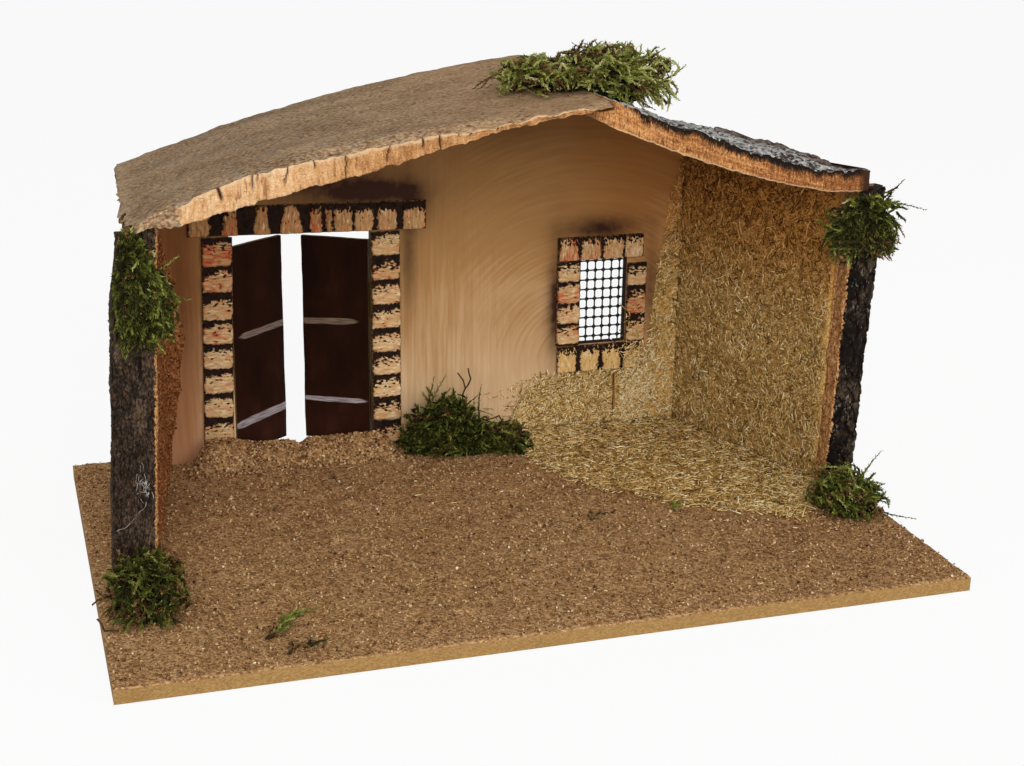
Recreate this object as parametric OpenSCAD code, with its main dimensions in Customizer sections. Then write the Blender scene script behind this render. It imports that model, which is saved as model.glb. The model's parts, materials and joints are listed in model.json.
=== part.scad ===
// Nativity stable: a cork-roofed shed on a board, with a double door, a netted window, hay and moss.
// Millimetres. The origin is the centre of the base board's underside, +Z is up and the open front faces -Y.

/* [Base] */
// Width of the base board
base_w = 500; // [480:5:600]
// Depth of the base board
base_d = 330; // [320:5:420]
// Thickness of the base board
base_t = 8; // [4:0.5:15]
// Thickness of the glued layer of cork granules
ground_t = 1.5; // [0.5:0.1:3]
// Height of the patches where more granules lie
patch_h = 1.0; // [0.2:0.1:3]
// Spacing of those patches
patch_pitch = 28; // [24:1:45]

/* [Room] */
// Thickness of the wall boards
board_t = 8; // [5:0.5:12]
// Strip of base behind the back wall
back_margin = 10; // [5:1:30]
// Depth of the room, from the back wall to the backs of the posts
room_d = 151; // [140:1:190]
// Left edge of the base to the left board's inner face, at the back wall
back_inset_l = 63; // [50:1:70]
// Right edge of the base to the right board's inner face, at the back wall
back_inset_r = 60; // [45:1:66]
// Left edge of the base to the left board's inner face, at the post
front_inset_l = 38; // [35:1:50]
// Right edge of the base to the right board's inner face, at the post
front_inset_r = 17; // [15:1:35]
// Thickness of the cork crumb on the left board
lining_t = 2.5; // [1:0.1:4]
// Thickness of the hay on the right board
hay_t = 4; // [2:0.1:6]
// Thickness of the hay on the back wall
back_hay_t = 3; // [1:0.1:5]
// Thickness of the hay on the floor
floor_hay_t = 3; // [1:0.1:6]

/* [Posts] */
// Width of the left bark post
post_l_w = 25; // [15:1:32]
// Width of the right bark post
post_r_w = 20; // [15:1:28]
// Thickness of both bark posts
post_t = 16; // [10:1:24]
// Tilt of the left post towards the right, in degrees
post_l_tilt = 2.8; // [0:0.1:4]
// Tilt of the right post towards the right, in degrees
post_r_tilt = 2.3; // [0:0.1:4]

/* [Roof] */
// Middle of the base to the ridge
ridge_x = 66; // [50:1:85]
// Height of the left slab's underside at the ridge, above the base
ridge_h = 264; // [245:1:290]
// Left edge of the base to the left eave
eave_inset_l = 28; // [15:1:34]
// Height of the left slab's underside at its eave, above the base
eave_l_h = 202; // [190:1:215]
// Upward bow of the left slab
left_bow = 4.5; // [0:0.5:10]
// Thickness of the left slab's front edge where it swells most, a third of the way up
left_front_peak = 16; // [10:0.5:20]
// Thickness of the left slab's front edge at both ends
left_front_end = 3.5; // [2.5:0.5:8]
// Thickness of the left slab's back edge at the eave
left_back_eave = 2.5; // [2:0.5:8]
// Thickness of the left slab's back edge at the ridge
left_back_ridge = 9.5; // [4:0.5:14]
// Swelling of the left slab's back edge in its middle
left_back_swell = 4.5; // [0:0.5:8]
// How far the left eave draws in towards the back
eave_draw = 11; // [0:1:20]
// Right edge of the base to the right eave
eave_inset_r = 10; // [-5:1:14]
// How far the right slab's head lies below the left slab's underside at the ridge
head_drop = 7; // [4:0.5:20]
// Height of the right slab's underside at its eave, above the base
eave_r_h = 203; // [190:1:212]
// Downward sag of the right slab
right_sag = 7; // [0:0.5:10]
// How far the tip of the right slab curls up
right_curl = 4; // [0:0.5:8]
// Thickness of the right slab at its head
right_head_t = 15; // [12:0.5:20]
// Thickness of the right slab's front edge in its middle, bark included
right_mid_t = 17; // [14:0.5:26]
// Thickness of the right slab's front edge at its tip
right_tip_t = 12; // [8:0.5:18]
// How much thinner the right slab is at its back edge
right_thin = 5; // [0:0.5:6]
// Height of the lumps in the right slab's bark
bark_lump = 2.5; // [0:0.1:2.8]
// Spacing of those lumps
bark_pitch = 42; // [36:1:60]
// How far the left slab laps over the right one
ridge_lap = 8; // [4:1:14]
// Roof overhang in front of the posts
roof_front = 8; // [2:1:20]
// Roof overhang behind the back wall
roof_back = 5; // [0:1:9]
// Unevenness of the sawn front and back edges
edge_wave = 1.5; // [0:0.1:3]

/* [Doorway] */
// Left board's inner face to the doorway, along the back wall
door_inset = 47.25; // [42:0.25:52]
// Width of the doorway
door_w = 97.5; // [85:0.5:105]
// Height of the doorway
door_h = 160; // [140:1:168]
// Thickness of the door leaves
leaf_t = 3.5; // [2:0.1:5]
// Height of the door leaves
leaf_h = 148.5; // [120:1:150]
// Gap between the granules and the door leaves
leaf_lift = 0.7; // [0.4:0.1:6]
// Gap beside each leaf
leaf_gap = 0.5; // [0.3:0.1:1.5]
// How far the left leaf stands open, in degrees
left_open = 36; // [5:1:60]
// How far the right leaf stands open, in degrees
right_open = 31; // [5:1:60]
// Width of a hinge tape on each side of its fold
tape_w = 9; // [5:0.5:14]
// Length of a hinge tape
tape_l = 26; // [15:1:40]
// Thickness of a hinge tape
tape_t = 0.4; // [0.2:0.1:0.8]

/* [Window] */
// Right board's inner face to the window hole, along the back wall
win_inset = 43; // [38:1:52]
// Width of the window hole
win_w = 36; // [28:1:42]
// Height of the window hole
win_h = 63; // [50:1:75]
// Height of the window hole's lower edge above the base
win_sill_h = 65; // [55:1:80]
// Width of the saw cut below the window
kerf_w = 1.5; // [0.8:0.1:3]
// Middle of the window to the saw cut
kerf_x = 10.5; // [0:0.5:15]
// Net mesh pitch across
net_px = 6.2; // [4:0.1:9]
// Net mesh pitch upwards
net_pz = 7.1; // [4:0.1:9]
// Width of the net's strands
net_bar = 1.3; // [0.8:0.1:2]
// Thickness of the net
net_t = 1; // [0.5:0.1:2]
// Least lap of the net on the wall
net_lap = 3; // [2:0.5:8]

/* [Brickwork] */
// Thickness of a strip behind its bricks
strip_back = 1.5; // [1:0.1:3]
// How far the bricks stand out of their strip
brick_rise = 2; // [0.5:0.1:4]
// Width of the door lintel
lintel_w = 20; // [14:1:26]
// Length of the door lintel
lintel_l = 163; // [140:1:170]
// Middle of the doorway to the middle of the lintel
lintel_shift = 6; // [0:1:12]
// Slope of the door lintel, in degrees
lintel_tilt = 1; // [0:0.1:2]
// Lap of the lintel over the doorway's upper edge
lintel_lap = 0.5; // [0:0.1:2]
// Width of the door jambs
jamb_w = 20.5; // [14:0.5:24]
// Lean of the left door jamb, in degrees
jamb_lean = 1.6; // [0:0.1:2]
// Width of the strip above the window
win_top_w = 17; // [12:0.5:22]
// Width of the strip below the window
win_sill_w = 20; // [12:0.5:24]
// Width of the strip on the left of the window
win_left_w = 17.5; // [10:0.5:20]
// Width of the strip on the right of the window
win_right_w = 15; // [10:0.5:20]
// Gap between neighbouring strips
strip_gap = 0.4; // [0.2:0.1:1]

/* [Heap and moss] */
// Height of the granule heap along the sill
heap_h = 8; // [2:0.5:10]
// Height of the heap at the left jamb's foot
heap_peak = 19; // [6:1:26]
// Depth of the heap
heap_d = 23; // [14:1:30]
// Half sizes of the moss on the ridge
ridge_moss_r = [60, 40, 26]; // [10:1:80]
// Half sizes of the moss on the left post's head
left_eave_moss_r = [20, 15, 36]; // [10:1:80]
// Half sizes of the moss on the right post's head
right_eave_moss_r = [26, 17, 26]; // [10:1:80]
// Half sizes of the moss at the left post's foot
left_foot_moss_r = [25, 46, 24]; // [10:1:80]
// Half sizes of the moss at the right post's foot
right_foot_moss_r = [24, 32, 28]; // [10:1:80]
// Half sizes of the moss against the back wall
wall_moss_r = [32, 24, 44]; // [10:1:80]
// Left post's inner edge to the moss at its foot: across, and forwards of the post
left_foot_moss_at = [-11, 42]; // [-40:1:60]
// Right board's inner face to the moss at the right foot: across, and forwards of the post
right_foot_moss_at = [-4, 24]; // [-40:1:60]
// Doorway to the moss against the back wall: across, and forwards of the wall
wall_moss_at = [57, 22]; // [15:1:80]
// Left front corner of the base to a bit of moss: across and back
sprig_a = [84, 32]; // [10:1:150]
// The same for a second bit
sprig_b = [98, 52]; // [10:1:150]
// The same for a third bit
sprig_c = [101, 13]; // [10:1:150]
// Middle of the base to the bit of moss by the hay: across, and forwards of the posts' backs
sprig_d = [60, 21]; // [10:1:100]
// Half sizes of the small bits of moss on the ground
sprig_r = [7, 4, 3]; // [2:0.5:12]
// Unevenness of the moss, as a share of its size
moss_lump = 0.16; // [0:0.01:0.25]
// Clearance kept round the moss
moss_gap = 0.2; // [0.1:0.1:1]

/* [Hidden] */

ground_z = base_t + ground_t;
room_back_l = base_w / 2 - back_inset_l;
room_back_r = base_w / 2 - back_inset_r;
room_front_l = base_w / 2 - front_inset_l;
room_front_r = base_w / 2 - front_inset_r;
eave_l = base_w / 2 - eave_inset_l;
eave_r = base_w / 2 - eave_inset_r;
right_head_h = ridge_h - head_drop;
wall_y1 = base_d / 2 - back_margin;
wall_y0 = wall_y1 - board_t;
post_y = wall_y0 - room_d;
post_face_y = post_y - post_t;
strip_y = wall_y0 - strip_back - brick_rise;
roof_y0 = post_face_y - roof_front;
roof_y1 = wall_y1 + roof_back;
far = base_w / 2 + 60;
tall = 2 * ridge_h;

door_x0 = door_inset - room_back_l;
door_x1 = door_x0 + door_w;
door_x = door_x0 + door_w / 2;
door_z1 = base_t + door_h;
leaf_w = (door_w - 3 * leaf_gap) / 2;
leaf_z = ground_z + leaf_lift;
win_x1 = room_back_r - win_inset;
win_x0 = win_x1 - win_w;
win_x = win_x1 - win_w / 2;
win_z0 = base_t + win_sill_h;
win_z1 = win_z0 + win_h;

// Colours
fibreboard = "#b98f56";
granules = "#7a5a3c";
painted = "#a98258";
crumb = "#7d5330";
hay = "#9c7a3c";
bark = "#3d352e";
cork = "#c08a55";
old_cork = "#806a50";
brick = "#d9ad84";
net_black = "#1c1a18";
leaf_brown = "#2a1814";
cloth = "#3a3029";
moss_green = "#3f5a1e";

// A repeatable value from -1 to 1 that differs from one brick, sprig or wave to the next
function vary(i, s = 0) = sin(i * 137.5 + s * 71.3);

// Roof lines
// The underside of each slab is a height over x, and walls and posts are cut to the same lines.
left_n = 18;
right_n = 14;
head_x = ridge_x - ridge_lap;
function left_x(i) = i == left_n ? ridge_x : -eave_l + (head_x + eave_l) * i / (left_n - 1);
function left_u(x) = (x + eave_l) / (ridge_x + eave_l);
function left_under(x) = let (u = left_u(x))
    base_t + eave_l_h + (ridge_h - eave_l_h) * u + left_bow * 4 * u * (1 - u);
function left_front_top(x) = let (u = left_u(x))
    left_under(x) + left_front_end + (left_front_peak - left_front_end) * 6.75 * u * (1 - u) * (1 - u);
function left_back_top(x) = let (u = left_u(x))
    left_under(x) + left_back_eave + (left_back_ridge - left_back_eave) * u
    + left_back_swell * 4 * u * (1 - u);
function right_x(i) = head_x + (eave_r - head_x) * i / right_n;
function right_u(x) = (x - head_x) / (eave_r - head_x);
function right_under(x) = let (u = right_u(x), tip = max(0, 5 * u - 4))
    base_t + right_head_h + (eave_r_h - right_head_h) * u - right_sag * 4 * u * (1 - u)
    + right_curl * tip * tip;
function right_front_top(x) = let (u = right_u(x))
    right_under(x) + right_head_t + (right_tip_t - right_head_t) * u
    + (right_mid_t - (right_head_t + right_tip_t) / 2) * 4 * u * (1 - u);
function right_back_top(x) = right_front_top(x) - right_thin * min(1, 3 * right_u(x));
left_line = [for (i = [0:left_n]) [left_x(i), left_under(left_x(i))]];
right_line = [for (i = [0:right_n]) [right_x(i), right_under(right_x(i))]];

// Lumps in the bark: the head stays flat, and from there they grow to their full height
bark_rows = 10;
bark_lean = 0.3;
function row_y(j, rows) = roof_y0 + (roof_y1 - roof_y0) * j / (rows - 1);
function bark(x, y) = bark_lump * min(1, max(0, 4 * right_u(x) - 1))
    * sin(180 * (x + bark_lean * y) / bark_pitch) * sin(180 * (y - bark_lean * x) / bark_pitch);

// Heights of each slab's top over its line, in rows from front to back
left_tops = [[for (q = left_line) left_front_top(q.x)], [for (q = left_line) left_back_top(q.x)]];
right_tops = [for (j = [0:bark_rows - 1]) let (v = j / (bark_rows - 1)) [for (q = right_line)
    right_front_top(q.x) * (1 - v) + right_back_top(q.x) * v + bark(q.x, row_y(j, bark_rows))]];

// A solid of the roof's depth over a line, up to rows of heights
module lofted(line, tops) {
    n = len(line);
    rows = len(tops);
    ring = rows + 2;
    end = ring * (n - 1);
    corners = [for (i = [0:n - 1]) each concat([[line[i].x, roof_y0, line[i].y]],
        [for (j = [0:rows - 1]) [line[i].x, row_y(j, rows), tops[j][i]]], [[line[i].x, roof_y1, line[i].y]])];
    sides = [for (i = [0:n - 2], k = [0:ring - 1])
        let (m = (k + 1) % ring) [for (c = [k, m, m + ring, k + ring]) ring * i + c]];
    polyhedron(corners, concat([for (q = sides) each [[q[0], q[1], q[2]], [q[0], q[2], q[3]]]],
        [for (t = [1:ring - 2]) [0, t + 1, t]], [for (t = [1:ring - 2]) [end, end + t, end + t + 1]]));
}

// Everything below the roof and above a given height
module under_roof(z = base_t) {
    polygon(concat([[far, z], [-far, z], [-far, left_under(-eave_l)]],
        [for (i = [0:left_n - 1]) left_line[i]], right_line, [[far, right_under(eave_r)]]));
}

// Extrudes an outline drawn in x and height, from y0 back to y1
module upright(y0, y1) {
    translate([0, y1, 0]) rotate([90, 0, 0]) linear_extrude(height = y1 - y0) children();
}

// Plan of a band beside a splayed board: from the board's inner face, in by a and out by b
module left_band(a, b) {
    polygon([[-room_back_l + a, wall_y0], [-room_front_l + a, post_y],
        [-room_front_l - b, post_y], [-room_back_l - b, wall_y0]]);
}

module right_band(a, b) {
    polygon([[room_back_r - a, wall_y0], [room_front_r - a, post_y],
        [room_front_r + b, post_y], [room_back_r + b, wall_y0]]);
}

left_skew_t = board_t / cos(atan((room_front_l - room_back_l) / room_d));
right_skew_t = board_t / cos(atan((room_front_r - room_back_r) / room_d));
back_x0 = -room_back_l - left_skew_t;
back_x1 = room_back_r + right_skew_t;

// Plan of the floor left free by the linings
module room_plan() {
    polygon([[-room_back_l + lining_t, wall_y0], [-room_front_l + lining_t, post_y],
        [room_front_r - hay_t, post_y], [room_back_r - hay_t, wall_y0]]);
}

module base_board() {
    color(fibreboard) translate([-base_w / 2, -base_d / 2, 0]) cube([base_w, base_d, base_t]);
}

// Low patches of granules, scattered from the corner x0, y0 as far as x1, y1
patch_r = 0.33 * patch_pitch;
patch_root = 0.5;
patch_stray = 0.22;
patch_top = 0.35;
module patches(x0, y0, x1, y1) {
    for (i = [0:floor((x1 - x0) / patch_pitch)], j = [0:floor((y1 - y0) / patch_pitch)])
        if (vary(3 * i + 7 * j, 2) > -0.4) {
            r = patch_r * (1 + 0.3 * vary(i + 2 * j, 4));
            translate([x0 + patch_pitch * (i + patch_stray * vary(i, j)),
                y0 + patch_pitch * (j + patch_stray * vary(j, i + 5)), ground_z - patch_root])
                rotate(40 * i + 75 * j)
                cylinder(h = patch_h + patch_root, r1 = r, r2 = patch_top * r, $fn = 7);
        }
}

// Patches lie on the open ground: across the front, and further in up to the hay and the moss on the wall
patch_inset = 47;
patch_clear = 26;
patch_x0 = -room_front_l + patch_inset;
patch_front = -base_d / 2 + 0.7 * patch_pitch;
patch_back = post_face_y - patch_inset;
module ground_cover() {
    color(granules) {
        difference() {
            translate([0, 0, base_t]) linear_extrude(height = ground_t) difference() {
                square([base_w, base_d], center = true);
                translate([back_x0, wall_y0]) square([door_x0 - back_x0, board_t]);
                translate([door_x1, wall_y0]) square([back_x1 - door_x1, board_t]);
                left_band(0, left_skew_t);
                right_band(0, right_skew_t);
            }
            left_post_stick();
            right_post_stick();
        }
        patches(patch_x0 + 2 * patch_pitch, patch_front,
            room_front_r + right_foot_moss_at.x - right_foot_moss_r.x - patch_clear,
            patch_back - 0.75 * patch_pitch);
        patches(patch_x0, patch_back, sprig_d.x - patch_clear,
            wall_y0 - wall_moss_at.y - wall_moss_r.y - patch_clear);
    }
}

// Heap of granules: highest at the left jamb's foot, then low along the sill
heap_x0 = door_x0 - 32;
heap_x1 = door_x1 + 14;
heap_y1 = strip_y - 0.2;
heap_nx = 18;
heap_ny = 5;
heap_fade = 12;
peak_x = door_x0 - 13;
peak_spread = 17;
function heap_crest(x) = min(1, 0.08 + (x - heap_x0) / heap_fade, 0.08 + (heap_x1 - x) / heap_fade)
    * (heap_h + (heap_peak - heap_h) * exp(-pow((x - peak_x) / peak_spread, 2)));
function heap_z(i, j) = let (x = heap_x0 + (heap_x1 - heap_x0) * i / heap_nx)
    ground_z + max(0.3, heap_crest(x) * sin(90 * j / heap_ny) * (1 + 0.1 * vary(i, j)));
function heap_at(i, j) = [heap_x0 + (heap_x1 - heap_x0) * i / heap_nx, heap_y1 - heap_d * (1 - j / heap_ny)];

module threshold_mound() {
    row = heap_ny + 1;
    n = (heap_nx + 1) * row;
    top = [for (i = [0:heap_nx], j = [0:heap_ny]) [heap_at(i, j).x, heap_at(i, j).y, heap_z(i, j)]];
    low = [for (i = [0:heap_nx], j = [0:heap_ny]) [heap_at(i, j).x, heap_at(i, j).y, ground_z]];
    cells = [for (i = [0:heap_nx - 1], j = [0:heap_ny - 1]) i * row + j];
    rim = concat([for (i = [0:heap_nx]) i * row], [for (j = [1:heap_ny]) heap_nx * row + j],
        [for (i = [heap_nx - 1:-1:0]) i * row + heap_ny], [for (j = [heap_ny - 1:-1:1]) j]);
    color(granules) polyhedron(concat(top, low), concat(
        [for (c = cells) [c, c + 1, c + row]],
        [for (c = cells) [c + 1, c + row + 1, c + row]],
        [for (c = cells) [c + n, c + row + n, c + 1 + n]],
        [for (c = cells) [c + 1 + n, c + row + n, c + row + 1 + n]],
        [for (k = [0:len(rim) - 1]) let (a = rim[k], b = rim[(k + 1) % len(rim)]) [a, b, b + n]],
        [for (k = [0:len(rim) - 1]) let (a = rim[k], b = rim[(k + 1) % len(rim)]) [a, b + n, a + n]]));
}

module back_wall() {
    color(painted) upright(wall_y0, wall_y1) difference() {
        intersection() {
            under_roof();
            translate([back_x0, 0]) square([back_x1 - back_x0, tall]);
        }
        translate([door_x0, 0]) square([door_w, door_z1]);
        translate([win_x0, win_z0]) square([win_w, win_h]);
        translate([win_x + kerf_x - kerf_w / 2, 0]) square([kerf_w, win_z0 + 1]);
    }
}

module left_side_wall() {
    color(painted) intersection() {
        linear_extrude(height = tall) left_band(0, left_skew_t);
        upright(post_y, wall_y0) under_roof();
    }
}

module right_side_wall() {
    color(painted) intersection() {
        linear_extrude(height = tall) right_band(0, right_skew_t);
        upright(post_y, wall_y0) under_roof();
    }
}

// The crumb covers the left board and swells a little way onto the back wall
spill_n = 9;
spill_w = 12;
spill_z1 = base_t + 165;
module left_wall_lining() {
    corner = -room_back_l + lining_t;
    color(crumb) {
        intersection() {
            linear_extrude(height = tall) left_band(lining_t, 0);
            upright(post_y, wall_y0) under_roof(ground_z);
        }
        upright(wall_y0 - lining_t, wall_y0) polygon(concat(
            [[corner - lining_t / 2, spill_z1], [corner - lining_t / 2, ground_z]],
            [for (i = [0:spill_n]) [corner + 0.5 + spill_w * sin(180 * i / spill_n) * (1 + 0.2 * vary(i)),
                ground_z + (spill_z1 - ground_z) * i / spill_n]]));
    }
}

module right_wall_hay() {
    color(hay) intersection() {
        linear_extrude(height = tall) right_band(hay_t, 0);
        upright(post_y, wall_y0) under_roof(ground_z);
    }
}

// Ragged upper edge of the hay on the back wall: low beside the door, under the window, then up the corner
sill_z0 = win_z0 - win_sill_w - strip_gap;
sill_x0 = win_x0 - win_left_w + 1;
sill_x1 = win_x1 + win_right_w - 2;
col_x1 = win_x1 + win_right_w;
hay_edge = [[win_x0 - 62, ground_z], [win_x0 - 59, base_t + 27], [win_x0 - 51, base_t + 38],
    [win_x0 - 24, sill_z0 - 1], [sill_x1 + 1, sill_z0 - 1], [col_x1 + 2, sill_z0 + 14],
    [col_x1 + 5, win_z0 + 8], [col_x1 + 8, win_z0 + 45], [col_x1 + 17, win_z1 + 40],
    [col_x1 + 17, win_z1 + 68]];
module back_wall_hay() {
    slit_h = 22;
    color(hay) intersection() {
        upright(wall_y0 - back_hay_t, wall_y0) difference() {
            intersection() {
                polygon(concat(hay_edge, [[far, win_z1 + 68], [far, ground_z]]));
                under_roof(ground_z);
            }
            translate([win_x + kerf_x - kerf_w / 2, sill_z0 - slit_h]) square([kerf_w, slit_h]);
        }
        linear_extrude(height = tall) room_plan();
    }
}

// Scattered hay on the floor, from the back wall round to the right post
floor_hay_edge = [[win_x0 - 52, -3], [win_x0 - 50, -60], [win_x0 - 26, 33 - room_d], [win_x - 4, 1 - room_d],
    [win_x + 40, -room_d - 27], [win_x + 66, -room_d - 25], [win_x + 74, 1 - room_d]];
module floor_hay() {
    color(hay) translate([0, 0, ground_z]) linear_extrude(height = floor_hay_t) difference() {
        intersection() {
            union() {
                room_plan();
                translate([0, post_y - 40]) square([win_x + 64, 41]);
            }
            translate([0, wall_y0]) polygon(concat(floor_hay_edge, [[far, 1 - room_d], [far, -3]]));
        }
        translate([door_x1 + wall_moss_at.x, wall_y0 - wall_moss_at.y])
            circle(r = wall_moss_r.x * (1 + moss_lump) + moss_gap, $fn = 48);
        translate([-far, wall_y0 - back_hay_t]) square([2 * far, back_hay_t]);
    }
}

// Section of a bark strip, flat at the back and rounded and cracked in front, from x = 0 to x = w
bark_n = 10;
module bark_section(w) {
    polygon(concat([[0, 0], [w, 0]],
        [for (i = [bark_n:-1:0]) [w * i / bark_n,
            -post_t * (0.8 + 0.2 * sin(180 * i / bark_n) - 0.05 * (1 + vary(i)))]]));
}

module post_stick(x, w, tilt) {
    root = 20;
    translate([x, post_y, base_t]) rotate([0, tilt, 0]) translate([0, 0, -root])
        linear_extrude(height = tall) bark_section(w);
}

module left_post_stick() { post_stick(-room_front_l - post_l_w, post_l_w, post_l_tilt); }
module right_post_stick() { post_stick(room_front_r - hay_t, post_r_w, post_r_tilt); }

module left_bark_post() {
    color(bark) intersection() {
        left_post_stick();
        upright(post_face_y - 1, post_y) under_roof();
    }
}

module right_bark_post() {
    color(bark) intersection() {
        right_post_stick();
        upright(post_face_y - 1, post_y) under_roof();
    }
}

// Plan of a slab with wavy sawn edges: x0 and x1 at the front, drawn in by draw0 and draw1 at the back
plan_n = 16;
corner_cut = 7;
module slab_plan(x0, x1, draw0, draw1, s) {
    polygon(concat(
        [for (i = [0:plan_n]) [x0 + corner_cut + (x1 - x0 - corner_cut) * i / plan_n,
            roof_y0 + edge_wave * (1 + vary(i, s))]],
        [for (i = [plan_n:-1:0]) [x0 + draw0 + (x1 - draw1 - x0 - draw0) * i / plan_n,
            roof_y1 - edge_wave * (1 + vary(i, s + 1))]],
        [[x0, roof_y0 + 2 * corner_cut]]));
}

module left_roof_slab() {
    color(old_cork) intersection() {
        lofted(left_line, left_tops);
        linear_extrude(height = tall) slab_plan(-eave_l, ridge_x, eave_draw, 0, 1);
    }
}

// The right slab's head is notched to lie under the end of the left slab
module right_roof_slab() {
    color(cork) difference() {
        intersection() {
            lofted(right_line, right_tops);
            mirror([1, 0, 0]) linear_extrude(height = tall) slab_plan(-eave_r, -head_x, eave_draw, 0, 4);
        }
        upright(roof_y0 - 1, roof_y1 + 1) polygon(concat([for (i = [left_n - 2:left_n]) left_line[i]],
            [[ridge_x, tall], [left_x(left_n - 2), tall]]));
    }
}

// A strip with a row of raised, uneven bricks: runs along x from 0, centred on y, bricks towards +z
module brick_strip(length, width, count, s) {
    pitch = length / count;
    joint = 0.24 * pitch;
    chip = 1.4;
    translate([0, -width / 2, 0]) cube([length, width, strip_back]);
    for (i = [0:count - 1]) {
        x0 = pitch * i + joint * (0.5 + 0.25 * vary(i, s));
        x1 = pitch * (i + 1) - joint * (0.5 + 0.25 * vary(i, s + 2));
        y0 = -width / 2 + 0.5 + 0.5 * vary(i, s + 3);
        y1 = width / 2 - 0.5 - 0.5 * vary(i, s + 4);
        linear_extrude(height = strip_back + brick_rise * (0.85 + 0.15 * vary(i, s + 5)))
            polygon([[x0 + chip, y0], [x1 - chip, y0], [x1, y0 + chip], [x1, y1 - chip],
                [x1 - chip, y1], [x0 + chip, y1], [x0, y1 - chip], [x0, y0 + chip]]);
    }
}

// Sets a strip against the back wall, lying along x or standing up
module lying(x, z, tilt = 0) {
    translate([x, wall_y0, z]) rotate([0, tilt, 0]) rotate([90, 0, 0]) children();
}
module standing(x, z, tilt = 0) {
    translate([x, wall_y0, z]) rotate([0, tilt, 0]) rotate([90, 0, 0]) rotate([0, 0, 90]) children();
}

// The lintel's lower edge crosses the doorway's upper edge at the middle of the doorway
lintel_z = door_z1 - lintel_lap + lintel_w / 2;
lintel_bricks = 8;
module door_lintel() {
    color(brick) lying(door_x, lintel_z, lintel_tilt)
        translate([lintel_shift - lintel_l / 2, 0, 0]) brick_strip(lintel_l, lintel_w, lintel_bricks, 1);
}

// Top of a jamb whose middle is at x, under the sloping lintel
function jamb_top(x) = door_z1 - lintel_lap - (x - door_x) * tan(lintel_tilt) - jamb_w / 2 * tan(lintel_tilt)
    - jamb_w * sin(jamb_lean) / 2 - strip_gap;
left_jamb_x = door_x0 - jamb_w / 2 - 2;
right_jamb_x = door_x1 + jamb_w / 2 - 0.5;
left_jamb_z = ground_z + jamb_w * sin(jamb_lean) / 2;
left_bricks = 8;
right_bricks = 9;
module left_door_jamb() {
    color(brick) standing(left_jamb_x, left_jamb_z, jamb_lean)
        brick_strip(jamb_top(left_jamb_x) - left_jamb_z, jamb_w, left_bricks, 7);
}

module right_door_jamb() {
    color(brick) standing(right_jamb_x, ground_z)
        brick_strip(jamb_top(right_jamb_x) - ground_z, jamb_w, right_bricks, 13);
}

win_bricks = 4;
lintel_x0 = win_x0 - win_left_w;
lintel_x1 = win_x1 + win_right_w - 3;
right_col_short = 4;
module window_lintel() {
    color(brick) lying(lintel_x0, win_z1 + strip_gap + win_top_w / 2)
        brick_strip(lintel_x1 - lintel_x0, win_top_w, win_bricks, 19);
}

module window_left_jamb() {
    color(brick) standing(win_x0 - win_left_w / 2, win_z0)
        brick_strip(win_h, win_left_w, win_bricks, 23);
}

module window_right_jamb() {
    color(brick) standing(win_x1 + win_right_w / 2, win_z0)
        brick_strip(win_h - right_col_short, win_right_w, win_bricks - 1, 29);
}

module window_sill() {
    color(brick) lying(sill_x0, win_z0 - strip_gap - win_sill_w / 2)
        brick_strip(sill_x1 - sill_x0, win_sill_w, win_bricks, 31);
}

// Plastic net cut to whole meshes and laid on the back of the wall over the window
net_nx = ceil((win_w + 2 * net_lap - net_bar) / net_px);
net_nz = ceil((win_h + 2 * net_lap - net_bar) / net_pz);
net_w = net_nx * net_px + net_bar;
net_h = net_nz * net_pz + net_bar;
module window_net() {
    color(net_black) upright(wall_y1, wall_y1 + net_t)
        translate([win_x - net_w / 2, (win_z0 + win_z1 - net_h) / 2]) difference() {
            square([net_w, net_h]);
            for (i = [0:net_nx - 1], k = [0:net_nz - 1])
                translate([net_bar + i * net_px, net_bar + k * net_pz])
                    square([net_px - net_bar, net_pz - net_bar]);
        }
}

module left_door() {
    color(leaf_brown) translate([door_x0, wall_y1, leaf_z]) rotate([0, 0, left_open])
        translate([leaf_gap, -leaf_t, 0]) cube([leaf_w, leaf_t, leaf_h]);
}

module right_door() {
    color(leaf_brown) translate([door_x1, wall_y1, leaf_z]) rotate([0, 0, -right_open])
        translate([-leaf_gap - leaf_w, -leaf_t, 0]) cube([leaf_w, leaf_t, leaf_h]);
}

// Two cloth strips, folded where the leaf meets the wall: one flap on each
tape_share = [0.12, 0.62];
module tapes(open) {
    fold = [-tape_t * tan(open / 2), tape_t];
    tip = tape_w * [cos(open), sin(open)];
    for (share = tape_share)
        translate([0, 0, leaf_z + share * leaf_h]) linear_extrude(height = tape_l)
            polygon([[-tape_w, 0], [0, 0], tip, tip + tape_t * [-sin(open), cos(open)], fold,
                [-tape_w, tape_t]]);
}

module left_hinge_tapes() {
    color(cloth) translate([door_x0, wall_y1, 0]) tapes(left_open);
}

module right_hinge_tapes() {
    color(cloth) translate([door_x1, wall_y1, 0]) mirror([1, 0, 0]) tapes(right_open);
}

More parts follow.
